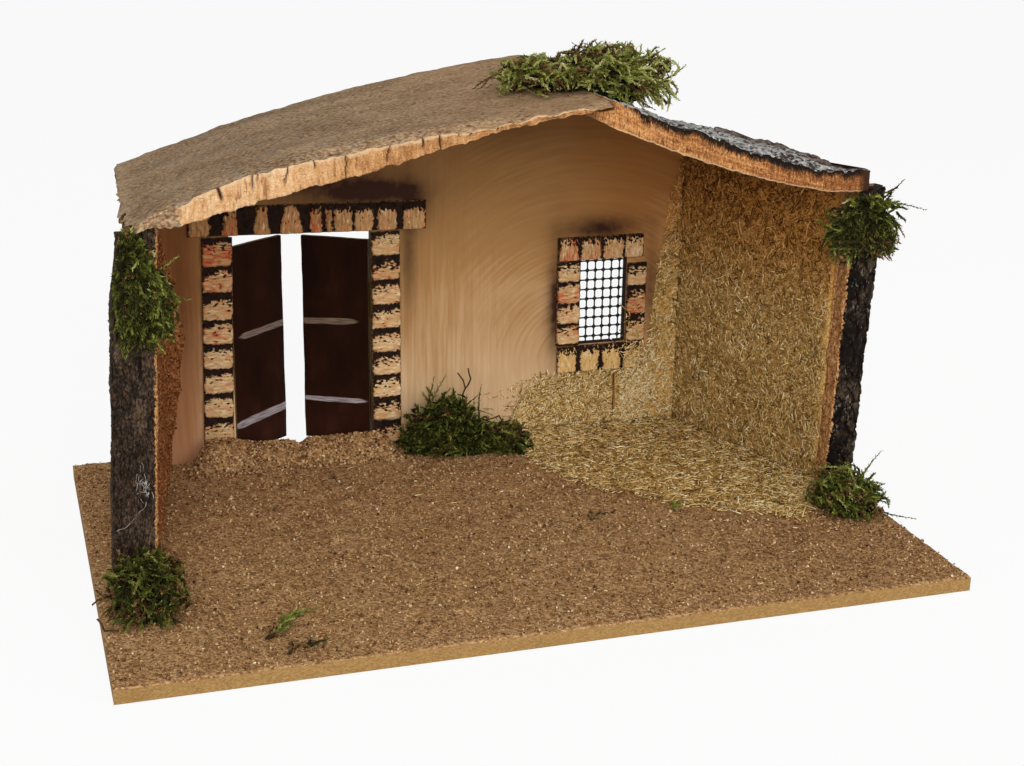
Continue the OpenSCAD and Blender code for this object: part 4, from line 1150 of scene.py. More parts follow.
loose = crumbs(places, sizes, rng, shade=rng.beta(1.8, 2.0, len(places)))
put_piece("wall_crumbs", loose, grain_finish("crumb_grains", CRUMB_SHADES), rounded=False)

# %% [markdown]
# ## Hay
# Chopped hay is glued over the right wall, the lower right of the back wall and the floor of that corner.
# One stalk is nothing, ten thousand make a mat: a low, lumpy skin closes the ground, and stalks of three
# sides lie on it in all directions, each with its own shade, from dark brown to cream.

# %% Hay
HAY_SHADES = ((0.0, "#573a14"), (0.25, "#a17a3e"), (0.55, "#d0ad69"), (0.82, "#ebd196"), (1.0, "#f8e9c2"))
HAY_T = 4.0
SHADED_FROM, SHADED_TO, SHADED_WASH = 105.0, 190.0, "#ffe2c8"


def under_roof(f, straw):
    """A wash that grows with height: painted shade of the roof, which makes the hay a little darker and
    redder.
    """
    return f.mix(f.step(f.z, SHADED_FROM, SHADED_TO), straw, SHADED_WASH, "MULTIPLY")


def hay_stalk_finish():
    """Each stalk keeps its own shade in the mesh, with a little noise over it."""
    f = Finish("hay_stalks", Roughness=0.9)
    straw = f.ramp(f.kept("shade") + (f.noise(0.8, 1.0) - 0.5) * 0.25, *HAY_SHADES)
    f.feed("Base Color", under_roof(f, straw))
    return f


def hay_mat_finish():
    """The skin below the stalks: short streaks in two directions."""
    f = Finish("hay_mat", Roughness=0.9)
    streaks = f.noise(1.0, 3.0, (1, 3, 1)) * 0.5 + f.noise(1.0, 3.0, (2.5, 1, 1.4)) * 0.5
    straw = f.ramp(streaks, (0.32, "#6b4a1e"), (0.5, "#bb9253"), (0.68, "#ecc87f"))
    f.feed("Base Color", under_roof(f, straw))
    f.bump(streaks, 0.9)
    return f


def strewn(places, first, second, lean, rng, longest=9.0, spread=0.0, dim=0.0):
    """Stalks on a surface: each points some way between the surface's two directions, lifted a little off
    it, and is darker by the given dimming."""
    count = len(places)
    angle = rng.normal(lean, 1.1, count)[:, None]
    off = np.cross(first, second)
    along = unit(first * np.cos(angle) + second * np.sin(angle) + off * rng.normal(0, 0.14, count)[:, None])
    lengths = rng.gamma(2.6, longest / 6.5, count).clip(2.0, 1.8 * longest)
    widths = rng.uniform(0.4, 0.95, count)
    shade = np.clip(rng.beta(1.5, 1.6, count) + spread * rng.normal(0, 1, count) - dim, 0, 1)
    return stalks(places, along, lengths, widths, rng.normal(0, 0.08, count) * lengths, rng, shade=shade)


hay_mat = hay_mat_finish()
hay_stalks = hay_stalk_finish()
print("Hay has", len(HAY_SHADES), "shades")

# %% Hay on the right wall
front, back = wall_skin(1, lambda y, z: HAY_T * (0.55 + 0.25 * rough(7.0, 61, y, z)))
put_piece("wall_hay_mat", crust(front, back), hay_mat, ["right_wall_hay"])
WALL_STALKS = 13500
s = rng.uniform(0.01, 0.99, WALL_STALKS)
y = WALL_FRONT - (WALL_FRONT - POST_BACK) * s
face = side_face(y, 1)
z = GROUND + 1 + rng.uniform(0, 1, WALL_STALKS) * (roof_under(face) - GROUND - 4)
places = np.column_stack([face - HAY_T * rng.uniform(0.5, 1.0, WALL_STALKS), y, z])
down_board = unit(np.array([ROOM_FRONT[1] - ROOM_BACK[1], POST_BACK - WALL_FRONT, 0.0]))
upward = np.array([0.0, 0.0, 1.0])
# Stalks high on the wall are darker: painted shade of the roof.
shaded = 0.18 * smooth(SHADED_FROM, SHADED_TO, z)
wall_hay = strewn(places, down_board, upward, 0.9, rng, 9.0, 0.0, shaded)
put_piece("wall_hay_stalks", wall_hay, hay_stalks)

# %% [markdown]
# ## Hay on the back wall
# Here the hay ends in the open: it thins out to the left, stops under the sill, climbs the corner and
# leaves the saw cut below the window free. The upper edge is a line through a few measured places, and a
# second, sparse lot of stalks frays the mat's left end. More cling to the sill's right end.

# %% Hay on the back wall
HAY_EDGE_X = (58.0, 64.0, 74.0, 92.0, 161.0, 164.0, 167.0, 170.0, 178.0, 187.0)
HAY_EDGE_Z = (12.0, 28.0, 40.0, 50.0, 51.5, 66.0, 81.0, 118.0, 176.0, 203.0)
BACK_HAY_T = 3.0
SLIT_X, SLIT_HALF = 139.5, 1.0
SLIT_LOW, SLIT_HIGH, SLIT_CLEAR = 20.0, 50.0, 3.5
SPARSE_X, SPARSE_REACH = 92.0, 50.0
SPARSE_TOP, SPARSE_DROP = 46.0, 14.0
BACK_STALKS, SPARSE_STALKS, SILL_STALKS = 7500, 420, 130
SILL_X, SILL_SPREAD, SILL_Z, SILL_RISE = 154.0, 6.0, 56.0, 4.2


def hay_edge(x):
    """Upper edge of the hay on the back wall: low beside the door, under the sill, then up the corner."""
    return np.interp(x, HAY_EDGE_X, HAY_EDGE_Z)


def back_mat(first, last):
    """The mat between two places along the wall: x and a share t of the way from the ground to the upper
    edge."""
    x, t = np.meshgrid(np.linspace(first, last, int(last - first) + 1), np.linspace(0, 1, 60), indexing="ij")
    top = hay_edge(x) + 3.0 * rough(7.0, 64, x, 0 * x) * smooth(GROUND, GROUND + 20, hay_edge(x)) * (x < 158)
    z = GROUND + t * (top - GROUND)
    y = WALL_FRONT - BACK_HAY_T * (0.65 + 0.25 * rough(6.0, 62, x, z)) * (1 - 0.85 * t ** 4)
    return crust(np.stack([x, y, z], axis=-1), np.stack([x, 0 * y + WALL_FRONT, z], axis=-1))


mats = back_mat(HAY_EDGE_X[0], SLIT_X - SLIT_HALF) + back_mat(SLIT_X + SLIT_HALF, HAY_EDGE_X[-1])
put_piece("back_hay_mat", mats, hay_mat, ["back_wall_hay"])
x = rng.uniform(HAY_EDGE_X[0] - 1, HAY_EDGE_X[-1], BACK_STALKS)
z = GROUND + rng.uniform(0, 1.03, BACK_STALKS) * (hay_edge(x) - GROUND) + rng.normal(0, 1.0, BACK_STALKS)
fall = rng.gamma(1.6, 0.2, SPARSE_STALKS).clip(0, 1)
x = np.append(x, SPARSE_X - SPARSE_REACH * fall)
z = np.append(z, GROUND + rng.uniform(0.05, 1.0, SPARSE_STALKS) * (SPARSE_TOP - SPARSE_DROP * fall))
count = len(x)
near_wall = np.where(np.arange(count) < BACK_STALKS, BACK_HAY_T * rng.uniform(0.5, 1.0, count), 0.6)
x = np.append(x, rng.normal(SILL_X, SILL_SPREAD, SILL_STALKS).clip(142, 166))
z = np.append(z, SILL_Z + rng.gamma(1.4, 9.0, SILL_STALKS).clip(0, 44))
near_wall = np.append(near_wall, np.full(SILL_STALKS, SILL_RISE))
places = np.column_stack([x, WALL_FRONT - near_wall, np.maximum(z, GROUND + 1)])
places = places[(np.abs(x - SLIT_X) > SLIT_CLEAR) | (z < SLIT_LOW) | (z > SLIT_HIGH)]
across = np.array([1.0, 0.0, 0.0])
# Paler stalks, most of all low in the right corner: painted light in that corner.
painted_light = -0.05 - 0.2 * smooth(138, 150, places[:, 0]) * smooth(90, 55, places[:, 2])
put_piece("back_hay_stalks", strewn(places, across, upward, 0.5, rng, 8.0, 0.1, painted_light), hay_stalks)

# %% [markdown]
# ## Hay on the floor
# The floor's hay fills the corner and ends in a ragged curve on the cork. A point of it lies between two
# lines, the free edge and the foot of the walls. The mat is thin at the free edge, and a few stalks lie
# strewn far over the ground.

# %% Hay on the floor
FLOOR_EDGE = np.array([(60, 126), (62, 86), (84, 38), (124, -3), (168, -31), (193, -50), (222, -30)], float)
FLOOR_CORNER = np.array([(60, 143), (110, 143), (160, 143), (184, 140), (205, 70), (218, 26), (227, -6)],
                        float)
FLOOR_HAY_T, FLOOR_STALKS, SCATTERED = 3.0, 11000, 240


def floor_point(u, v):
    """A point between the hay's free edge (v = 0) and the foot of the walls (v = 1)."""
    share = np.linspace(0, 1, len(FLOOR_EDGE))
    edge = np.stack([np.interp(u, share, FLOOR_EDGE[:, k]) for k in range(2)], axis=-1)
    foot = np.stack([np.interp(u, share, FLOOR_CORNER[:, k]) for k in range(2)], axis=-1)
    return edge + (foot - edge) * v[..., None]


u, v = np.meshgrid(np.linspace(0, 1, 90), np.linspace(0, 1, 60), indexing="ij")
plan = floor_point(u, v)
thick = FLOOR_HAY_T * smooth(0, 0.5, v) * (0.6 + 0.3 * rough(8.0, 63, plan[..., 0], plan[..., 1]))
top = np.concatenate([plan, (GROUND + 0.1 + thick)[..., None]], axis=-1)
bottom = np.concatenate([plan, 0 * thick[..., None] + GROUND - 1], axis=-1)
put_piece("floor_hay_mat", crust(top, bottom), hay_mat, ["floor_hay"])
v = 1 - rng.uniform(0, 1.0, FLOOR_STALKS) ** 1.1 * 1.07
plan = floor_point(rng.uniform(0, 1, FLOOR_STALKS), np.minimum(v, 0.99))
plan = plan + rng.normal(0, 3.0, plan.shape) * (v < 0.9)[:, None]
lift = FLOOR_HAY_T * smooth(0, 0.5, v) * rng.uniform(0.5, 1.0, FLOOR_STALKS) + 0.8
depthwise = np.array([0.0, 1.0, 0.0])
mat = strewn(np.column_stack([plan, GROUND + lift]), across, depthwise, 0.8, rng, 12.0, 0.1, -0.03)
spread_x = rng.normal(40, 110, SCATTERED)
spread_y = rng.normal(-20, 70, SCATTERED)
plan = np.column_stack([spread_x.clip(-200, 240), spread_y.clip(-150, 120)])
places = np.column_stack([plan, np.full(SCATTERED, GROUND + 0.8)])
loose = strewn(places, across, depthwise, 0.5, rng, 6.0, 0.3)
put_piece("floor_hay_stalks", mat + loose, hay_stalks)

# %% [markdown]
# ## Brick strips
# The door and window are framed with strips of cork board. Bricks were cut out by grooves, the strip was
# painted black-brown, and cream, peach and a little red were dry-brushed over the bricks. A strip is a
# height field: for each point the script works out how deep it lies inside a brick, as a soft minimum of
# its distances from the brick's ragged edges. The field stands high where that is above 0, and drops to
# the strip between bricks. The mesh keeps that depth, so the paint knows where a brick is.

# %% Brick strips
STRIP_T = 1.5
BRICK_RISE = 2.0
ARCH, LEAN = 1.0, 1.1
TAPER = 4.0
CELL = 0.6
ROUNDING = 0.9
YELLOWED = "#fff6d6"


def brick_strip(length, width, bricks, seed, hanging):
    """A strip's front as heights over (along, across). A point's depth inside a brick is its least
    distance from the brick's ragged upper edge, its lower edge and its sides, with the corners rounded by
    a soft minimum, and the brick in which it lies deepest counts. On a strip that hangs the tops are
    arched; on one that lies the bricks narrow upwards, the worn ones least."""
    steps_a = np.linspace(0, length, int(length / CELL))
    steps_b = np.linspace(-width / 2, width / 2, int(width / CELL))
    a, b = np.meshgrid(steps_a, steps_b, indexing="ij")
    wobble = rough(4.0, seed, a, b)
    frayed = rough(1.6, seed + 7, a, b)
    low, high, tone, red, worn = [np.array(column, float) for column in zip(*bricks)]
    at, across = a[..., None], 2 * b[..., None] / width
    if hanging:
        upper = at - low - ARCH * across ** 2 + LEAN * across
        lower = high - at
        sides = width / 2 * (1 - np.abs(across)) - 0.4
    else:
        upper = width / 2 * (1 - across) - 0.7
        lower = width / 2 * (1 + across)
        sides = np.minimum(at - low, high - at) - TAPER * np.maximum(1.1 - worn, 0) * (1 + across) / 2
    upper = upper + (1.7 * frayed + 1.4 * wobble)[..., None]
    lower = lower + (0.7 * frayed)[..., None]
    sides = sides + (0.9 * frayed + 0.9 * wobble)[..., None]
    depth = -np.log(sum(np.exp(-ROUNDING * part) for part in (upper, lower + 0.6, sides + 0.4))) / ROUNDING
    nearest = np.argmax(depth, axis=-1)

    def pick(values):
        return np.take_along_axis(np.broadcast_to(values, depth.shape), nearest[..., None], axis=-1)[..., 0]

    inside = pick(depth)
    height = STRIP_T + BRICK_RISE * smooth(-0.6, 1.2, inside) * (0.85 + 0.12 * wobble)
    edge = smooth(0.7, 0.0, np.minimum.reduce([a, length - a, width / 2 - np.abs(b)]))
    height = (height + 0.18 * frayed) * (1 - 0.25 * edge)
    scraped = worn[nearest] * smooth(9.0, 1.0, pick(upper))
    paint = np.clip(inside / 2.5, -1, 1)
    values = dict(paint=paint, tone=tone[nearest], red=red[nearest], worn=scraped, edge=edge, along=a, over=b)
    return a, b, height, values


def place_strip(a, b, height, at, along, up_strip, values):
    """Puts a strip on the wall: along and up_strip are directions in x and z, and height stands out
    towards -y."""
    x = at[0] + a * along[0] + b * up_strip[0]
    z = at[1] + a * along[1] + b * up_strip[1]
    front = np.stack([x, WALL_FRONT - height, z], axis=-1)
    return crust(front, np.stack([x, 0 * x + WALL_FRONT, z], axis=-1), **values)


print("A brick stands out by", BRICK_RISE, "mm")


# %% Paint on the bricks
def brick_finish():
    """Dry-brushed paint: cream or peach on the bricks, red smears on some, black-brown in the grooves and
    scrapes."""
    f = Finish("brick_paint", Roughness=0.8)
    speckle = f.noise(0.9, 3.0)
    flat = f.node("CombineXYZ", {}, {0: f.kept("along"), 1: f.kept("over"), 2: f.y * 0.2})
    brushed = f.noise(1.3, 3.0, (1, 5, 1), flat)
    tone = f.kept("tone") * 0.75 + (brushed - 0.5) * 0.9 + 0.14
    cream = f.ramp(tone, (0.05, "#7d5531"), (0.3, "#a87f50"), (0.6, "#cba878"), (0.85, "#dfc7a0"),
                   (1.0, "#efe4cd"))
    peach = f.step(f.noise(3.0, 3.0, (1, 3, 1), flat), 0.45, 0.62) * f.step(f.kept("red"), -0.3, 0.0)
    cream = f.mix(1 - f.step(f.kept("red"), -0.3, 0.0), cream, YELLOWED, "MULTIPLY")
    cream = f.mix(peach * 0.5, cream, "#c27d4f")
    touched = f.step(f.noise(1.7, 3.0, (1, 4, 1), flat) + f.kept("tone") * 0.12, 0.62, 0.72)
    cream = f.mix(touched * 0.6, cream, "#e8d6b2")
    reddish = f.step(f.kept("red") + (f.noise(3.0, 3.0, (1, 2.5, 1), flat) - 0.5) * 1.6, 0.4, 0.75)
    cream = f.mix(reddish * 0.85, cream, f.ramp(brushed, (0.35, "#8a2410"), (0.65, "#cf6a40")))
    dark = f.ramp(f.noise(3.0, 4.0), (0.35, "#120904"), (0.65, "#2a170d"))
    scrapes = f.step(f.noise(1.5, 3.0, (1, 2, 1), flat) + f.kept("worn") * 0.26, 0.64, 0.71)
    covered = f.step(f.kept("paint") + (speckle - 0.5) * 1.1, -0.05, 0.2) * (1 - scrapes)
    both = f.mix(covered, dark, cream)
    f.feed("Base Color", f.mix(f.kept("edge") * f.step(brushed, 0.4, 0.6), both, "#8f673d"))
    f.bump(speckle, 0.35)
    return f


bricks = brick_finish()
print("The paint has", len(bricks.tree.nodes), "nodes")

# %% Rows of bricks
# Each brick: where it starts and ends along its strip, how pale it is, how red, and how worn.
# The lintel's bricks are less pale than the jambs': partly their paint, partly painted shade of the roof.
DOOR_BRICKS = ((0.5, 14.5, 0.15, 0.1, 0.7), (23, 33, 0.12, 0.45, 0.8), (43.5, 54.5, 0.15, 0.2, 0.4),
               (61, 77, 0.2, 0.1, 0.0), (82, 90, 0.15, 0.5, 0.9), (93, 96.5, 0.1, 0.1, 1.2),
               (99, 110.5, 0.25, 0.1, 1.3), (113, 125, 0.3, 0.1, 1.4), (129, 141.5, 0.3, 0.05, 1.6),
               (147, 162, 0.28, 0.05, 1.6))
LEFT_BRICKS = ((3, 19, 0.35, 0.65, 0.7), (23.5, 37, 0.5, 0.45, 0.5), (43, 56.5, 0.5, 0.25, 0.5),
               (60.5, 73.5, 0.5, 0.4, 0.4), (77.5, 91, 0.6, 0.25, 0.5), (95.5, 108.5, 0.6, 0.3, 0.5),
               (112.5, 126, 0.6, 0.15, 0.4), (131, 147, 0.5, 0.1, 0.6))
RIGHT_BRICKS = ((2, 16, 0.5, 0.1, 0.5), (21.5, 33.5, 0.45, 0.4, 0.8), (38, 51, 0.55, 0.05, 0.5),
                (55.5, 68.5, 0.5, 0.15, 0.7), (73, 85.5, 0.6, 0.1, 0.6), (90, 102.5, 0.6, 0.05, 0.7),
                (106.5, 119, 0.65, 0.0, 0.6), (124, 136.5, 0.55, 0.1, 0.8), (141, 153.5, 0.4, 0.0, 0.9))
WINDOW_TOP_BRICKS = ((1, 15.5, 0.45, 0.6, 0.8), (17.5, 32, 0.45, 0.45, 0.9), (34.5, 49.5, 0.5, 0.2, 0.9),
                     (51, 65, 0.55, 0.2, 0.9))
WINDOW_LEFT_BRICKS = ((1.5, 14.5, 0.55, 0.1, 0.9), (17, 30.5, 0.5, 0.5, 0.3), (33, 45.5, 0.6, 0.2, 0.4),
                      (48.5, 61, 0.5, 0.4, 0.5))
WINDOW_RIGHT_BRICKS = ((2, 16, 0.55, 0.1, 0.9), (20, 37.5, 0.4, 0.5, 0.9), (41.5, 58, 0.45, 0.2, 0.9))
SILL_BRICKS = ((0.5, 14.5, 0.6, -0.4, 1.1), (18, 31.5, 0.65, -0.4, 1.0), (35, 48.5, 0.65, -0.4, 1.0),
               (52, 65, 0.6, -0.4, 1.0))
LINTEL_TILT = math.radians(1.0)
JAMB_LEAN = math.radians(1.6)
LINTEL_L, LINTEL_W, JAMB_W = 163.0, 20.0, 20.5


def turned(angle, down=False):
    """Directions along a strip and across it, in x and z, for one that lies along x or hangs down; turned
    clockwise."""
    c, s = math.cos(angle), math.sin(angle)
    return ((-s, -c), (c, -s)) if down else ((c, -s), (s, c))


def straight_strip(node, row, hanging):
    """A strip that fills its CAD node's box: its length, width, bricks, start and directions."""
    low, high = box(node)
    middle = (low + high) / 2
    if hanging:
        return node, high[2] - low[2], high[0] - low[0], row, (middle[0], high[2]), turned(0, True), True
    return node, high[0] - low[0], high[2] - low[2], row, (low[0], middle[2]), turned(0), False


lintel_low, lintel_high = box("door_lintel")
jamb_low, jamb_high = box("left_door_jamb")
lintel_z = (lintel_low[2] + lintel_high[2]) / 2 + LINTEL_L / 2 * math.sin(LINTEL_TILT)
lintel_start = (lintel_low[0] + 0.1, lintel_z)
jamb_l = jamb_high[2] - jamb_low[2] - JAMB_W * math.sin(JAMB_LEAN)
jamb_start = (jamb_high[0] - JAMB_W / 2, jamb_high[2] - JAMB_W * math.sin(JAMB_LEAN) / 2)
STRIPS = (("door_lintel", LINTEL_L, LINTEL_W, DOOR_BRICKS, lintel_start, turned(LINTEL_TILT), False),
          ("left_door_jamb", jamb_l, JAMB_W, LEFT_BRICKS, jamb_start, turned(JAMB_LEAN, True), True),
          straight_strip("right_door_jamb", RIGHT_BRICKS, True),
          straight_strip("window_lintel", WINDOW_TOP_BRICKS, False),
          straight_strip("window_left_jamb", WINDOW_LEFT_BRICKS, True),
          straight_strip("window_right_jamb", WINDOW_RIGHT_BRICKS, True),
          straight_strip("window_sill", SILL_BRICKS, False))
for number, (node, length, width, row, at, (along, up_strip), hanging) in enumerate(STRIPS):
    a, b, height, values = brick_strip(length, width, row, 70 + 10 * number, hanging)
    strip = place_strip(a, b, height, at, along, up_strip, values)
    put_piece(node + "_bricks", strip, bricks, [node])

# %% [markdown]
# ## Window net
# A piece of black plastic net closes the window from behind. Its holes have round corners, because the
# strands widen where they cross. Each strand is a flat rod along a line, and its half width grows near
# every crossing.

# %% Window net
NET_LOW, NET_HIGH = box("window_net")
NET_SIZE = NET_HIGH - NET_LOW
NET_BAR = 1.3
NET_NX, NET_NZ = 7, 10


def strand(start, length, pitch, along_x):
    """A strand with an oval section: half width is half a bar, plus a rise towards each crossing."""
    s = np.linspace(0, length, int(length / 0.35))[:, None]
    to_crossing = np.abs((s - NET_BAR / 2 + pitch / 2) % pitch - pitch / 2)
    half = NET_BAR / 2 * (0.85 + 1.1 * smooth(1.9, 0.3, to_crossing))
    angle = np.linspace(0, 2 * np.pi, 8, endpoint=False)[None]
    across = half * np.cos(angle)
    out = (NET_HIGH[1] - NET_LOW[1]) / 2 * np.sin(angle) + (NET_LOW[1] + NET_HIGH[1]) / 2 + 0 * s
    rows = (s + start[0], out, across + start[1]) if along_x else (across + start[0], out, s + start[1])
    return lofted(np.stack(np.broadcast_arrays(*rows), axis=-1))


def net_finish():
    """Black plastic, slightly shiny, dusty in places."""
    f = Finish("net_plastic", Roughness=0.45)
    f.feed("Base Color", f.ramp(f.noise(6.0, 3.0), (0.4, "#0e0d0c"), (0.75, "#2b2723")))
    return f


pitch_x = (NET_SIZE[0] - NET_BAR) / NET_NX
pitch_z = (NET_SIZE[2] - NET_BAR) / NET_NZ
first = NET_LOW + NET_BAR / 2
heights = first[2] + pitch_z * np.arange(NET_NZ + 1)
places = first[0] + pitch_x * np.arange(NET_NX + 1)
level = [strand((NET_LOW[0], at), NET_SIZE[0], pitch_x, True) for at in heights]
upright = [strand((at, NET_LOW[2]), NET_SIZE[2], pitch_z, False) for at in places]
put_piece("window_mesh", joined(level + upright), net_finish(), ["window_net"])

# %% [markdown]
# ## Door leaves
# Each leaf is thin hardboard, painted nearly black, with two dry strokes of grey across its room side for
# the door's bands, which fade towards the hinge. The sawn edges stay bare. A leaf is a height field over
# its own width and height, then turned about its hinge line to stand ajar. The mesh keeps each point's
# place on the leaf, so that the strokes stay on it when the leaf moves.

# %% Door leaves
HINGES = {joint["child"]: np.array(joint["pos_m"]) / MM for joint in frame["joints"]}
LEAF_W, LEAF_T, LEAF_GAP = 48.3, 3.5, 0.02
LEAF_FOOT, LEAF_HEAD = box("left_door")[0][2], box("left_door")[1][2]
LEAF_H = LEAF_HEAD - LEAF_FOOT
OPEN = {joint["child"]: -math.radians(joint["range_deg"][0]) for joint in frame["joints"]}
SIDE = {"left_leaf": 1.0, "right_leaf": -1.0}
STROKE_RISE = 13.0


def leaf_board(body):
    """A board over (along, up) with slightly wavy sawn edges, turned about the hinge by the opening angle."""
    a, h = np.meshgrid(np.linspace(0, 1, 50), np.linspace(0, 1, 150), indexing="ij")
    along = LEAF_GAP + LEAF_W * a + 0.35 * a * blots(9.0, 91, LEAF_H * h, 0 * h)
    tall = LEAF_H * h + 0.4 * (h - 0.5) * blots(7.0, 92, LEAF_W * a, 0 * a)
    worn = smooth(1.2, 0, np.minimum.reduce([LEAF_W * a, LEAF_W * (1 - a), LEAF_H * h, LEAF_H * (1 - h)]))
    back = LEAF_T - 0.35 * worn + 0.08 * rough(7.0, 93, along, tall)

    def turned_out(depth):
        c, s = math.cos(OPEN[body]), math.sin(OPEN[body])
        x = HINGES[body][0] + SIDE[body] * (along * c + depth * s)
        return np.stack([x, WALL_BACK + along * s - depth * c, LEAF_FOOT + tall], axis=-1)

    rim_depth = 0 * back
    shape = crust(turned_out(back), turned_out(rim_depth), along=along, up=tall)
    shape.values["depth"] = np.append(np.ravel(0 * back), np.full(len(shape.corners) - back.size, LEAF_T))
    return shape


def leaf_finish(name, strokes):
    """Near-black paint; each stroke is a band round a sloping line, broken up along the brush; bare sawn
    edges."""
    f = Finish(name, Roughness=0.7, Specular_IOR_Level=0.05)
    along, up, depth = f.kept("along"), f.kept("up"), f.kept("depth")
    flat = f.node("CombineXYZ", {}, {0: along, 1: up, 2: depth})
    cloud = f.noise(18.0, 4.0, (1, 2, 1), flat) + 0.3 * (1 - f.step(up, 0.0, 55.0))
    paint = f.ramp(cloud, (0.35, "#1e0e07"), (0.6, "#29130a"), (0.8, "#351a10"), (1.0, "#432517"))
    bristle = f.noise(2.0, 4.0, (9, 0.5, 1), flat)
    streaks = f.noise(1.1, 3.0, (14, 0.6, 1), flat)
    room_side = 1 - f.step(depth, 0.15, 0.4)
    for first, low, slope, half, code in strokes:
        off = (up - low - slope * along + (bristle - 0.5) * 2.0) / half
        full = f.step(along, first, first + STROKE_RISE)
        band = f.step(full - off * off, 0.0, 0.45) * (0.35 + 0.65 * f.step(streaks, 0.36, 0.58))
        paint = f.mix(band * room_side * 0.9, paint, code)
    bare = f.ramp(f.noise(1.5, 4.0), (0.35, "#54421f"), (0.65, "#7d6637"))
    edge = f.step(depth, 0.15, 0.4) * (1 - f.step(depth, LEAF_T - 0.3, LEAF_T - 0.1))
    f.feed("Base Color", f.mix(edge, paint, bare))
    f.bump(f.noise(3.0, 4.0, (1, 3, 1), flat), 0.25)
    return f


LEFT_STROKES = ((1, 84.2, 0.03, 2.6, "#8a766b"), (-6, 20.8, 0.065, 3.2, "#b3a8aa"))
RIGHT_STROKES = ((4, 89.7, -0.056, 2.5, "#86705f"), (-2, 30.7, -0.023, 2.0, "#b3a8aa"))
for side, strokes in (("left", LEFT_STROKES), ("right", RIGHT_STROKES)):
    body, node = side + "_leaf", side + "_door"
    paint = leaf_finish(node + "_paint", strokes)
    put_piece(node + "_board", leaf_board(body), paint, [node], body)

# %% [markdown]
# ## Cloth hinges
# Two strips of cloth tape on the back of the wall hang each leaf. One half is glued to the wall and the
# other to the leaf, so the strip is bent across the hinge line: it is made turned from the wall's plane to
# the open leaf's, and rides on no body.

# %% Cloth hinges
TAPE_HALF, TAPE_L, TAPE_T, TAPE_CLEAR = 9.0, 26.0, 0.4, 0.03
TAPE_SHARE = (0.12, 0.62)
BEND = 0.4


def hinge_tape(body, foot):
    """A thin strip over (across, up): flat on the wall up to the hinge line, then turned along the open
    leaf."""
    a, h = np.meshgrid(np.linspace(-TAPE_HALF, TAPE_HALF, 37), np.linspace(0, TAPE_L, 40), indexing="ij")
    turn = OPEN[body] * smooth(-BEND, BEND, a)
    weave = 0.03 * np.sin(2 * np.pi * a / 1.0) * np.sin(2 * np.pi * h / 1.0)

    def sheet_at(depth):
        c, s = np.cos(turn), np.sin(turn)
        x = HINGES[body][0] + SIDE[body] * (a * c - depth * s)
        return np.stack([x, WALL_BACK + a * s + depth * c, foot + h], axis=-1)

    front = sheet_at(TAPE_T + weave)
    back = sheet_at(0 * a + TAPE_CLEAR)
    rim = rim_numbers(*a.shape)
    skirt = np.stack([rim, rim + a.size, np.roll(rim, -1) + a.size, np.roll(rim, -1)], axis=1)
    faces = [quads(*a.shape), quads(*a.shape)[:, ::-1] + a.size, skirt]
    return Shape(np.concatenate([front.reshape(-1, 3), back.reshape(-1, 3)]), faces).outward()


def tape_finish():
    """Dark cloth: two crossing sets of threads at one millimetre, with faded patches."""
    f = Finish("cloth_tape", Roughness=0.9)
    threads = f.noise(0.7, 1.0, (1, 1, 6)) * 0.5 + f.noise(0.7, 1.0, (6, 6, 1)) * 0.5
    faded = threads + (f.noise(9.0, 2.0) - 0.5) * 0.3
    f.feed("Base Color", f.ramp(faded, (0.35, "#241c17"), (0.65, "#51453b")))
    f.bump(threads, 0.2)
    return f


tape = tape_finish()
for side in ("left", "right"):
    body, node, door = side + "_leaf", side + "_hinge_tapes", side + "_door"
    for number, share in enumerate(TAPE_SHARE):
        shape = hinge_tape(body, LEAF_FOOT + share * LEAF_H)
        strip = put_piece(f"{node}_{number + 1}", shape, tape, [node], body=None)
        at = np.array([HINGES[body][0], WALL_BACK, 0]) * MM
        reach = np.array([SIDE[body] * BEND, 0, 0]) * MM
        at - reach
        at + reach
        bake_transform(strip)

# %% [markdown]
# ## Moss
# Dried moss hides the joints: on the ridge, on the post heads, at the posts' feet and beside the door. A
# tuft is hundreds of fronds, each a curved tapering stem with pointed leaves set in a spiral, round a
# tangled heart, painted near-black as the shade inside the tuft. Fronds start in and on the heart, head
# outwards in bunches, and droop or curl. Where a real tuft is made of two clumps, a lobe of its own is
# added.

# %% Fronds of moss
LEAVES = 17
RINGS = 5
SPIRAL = 2.4
SWAY = 4.0
LEAF_FACES = np.array([[0, 2, 1], [0, 1, 3], [1, 2, 3], [2, 0, 3]])
STEM_ENDS = np.array([[0, 1, 2], [3 * RINGS - 1, 3 * RINGS - 2, 3 * RINGS - 3]])
STEM_FACES = [quads(RINGS, 3, around=True)[:, ::-1], STEM_ENDS]


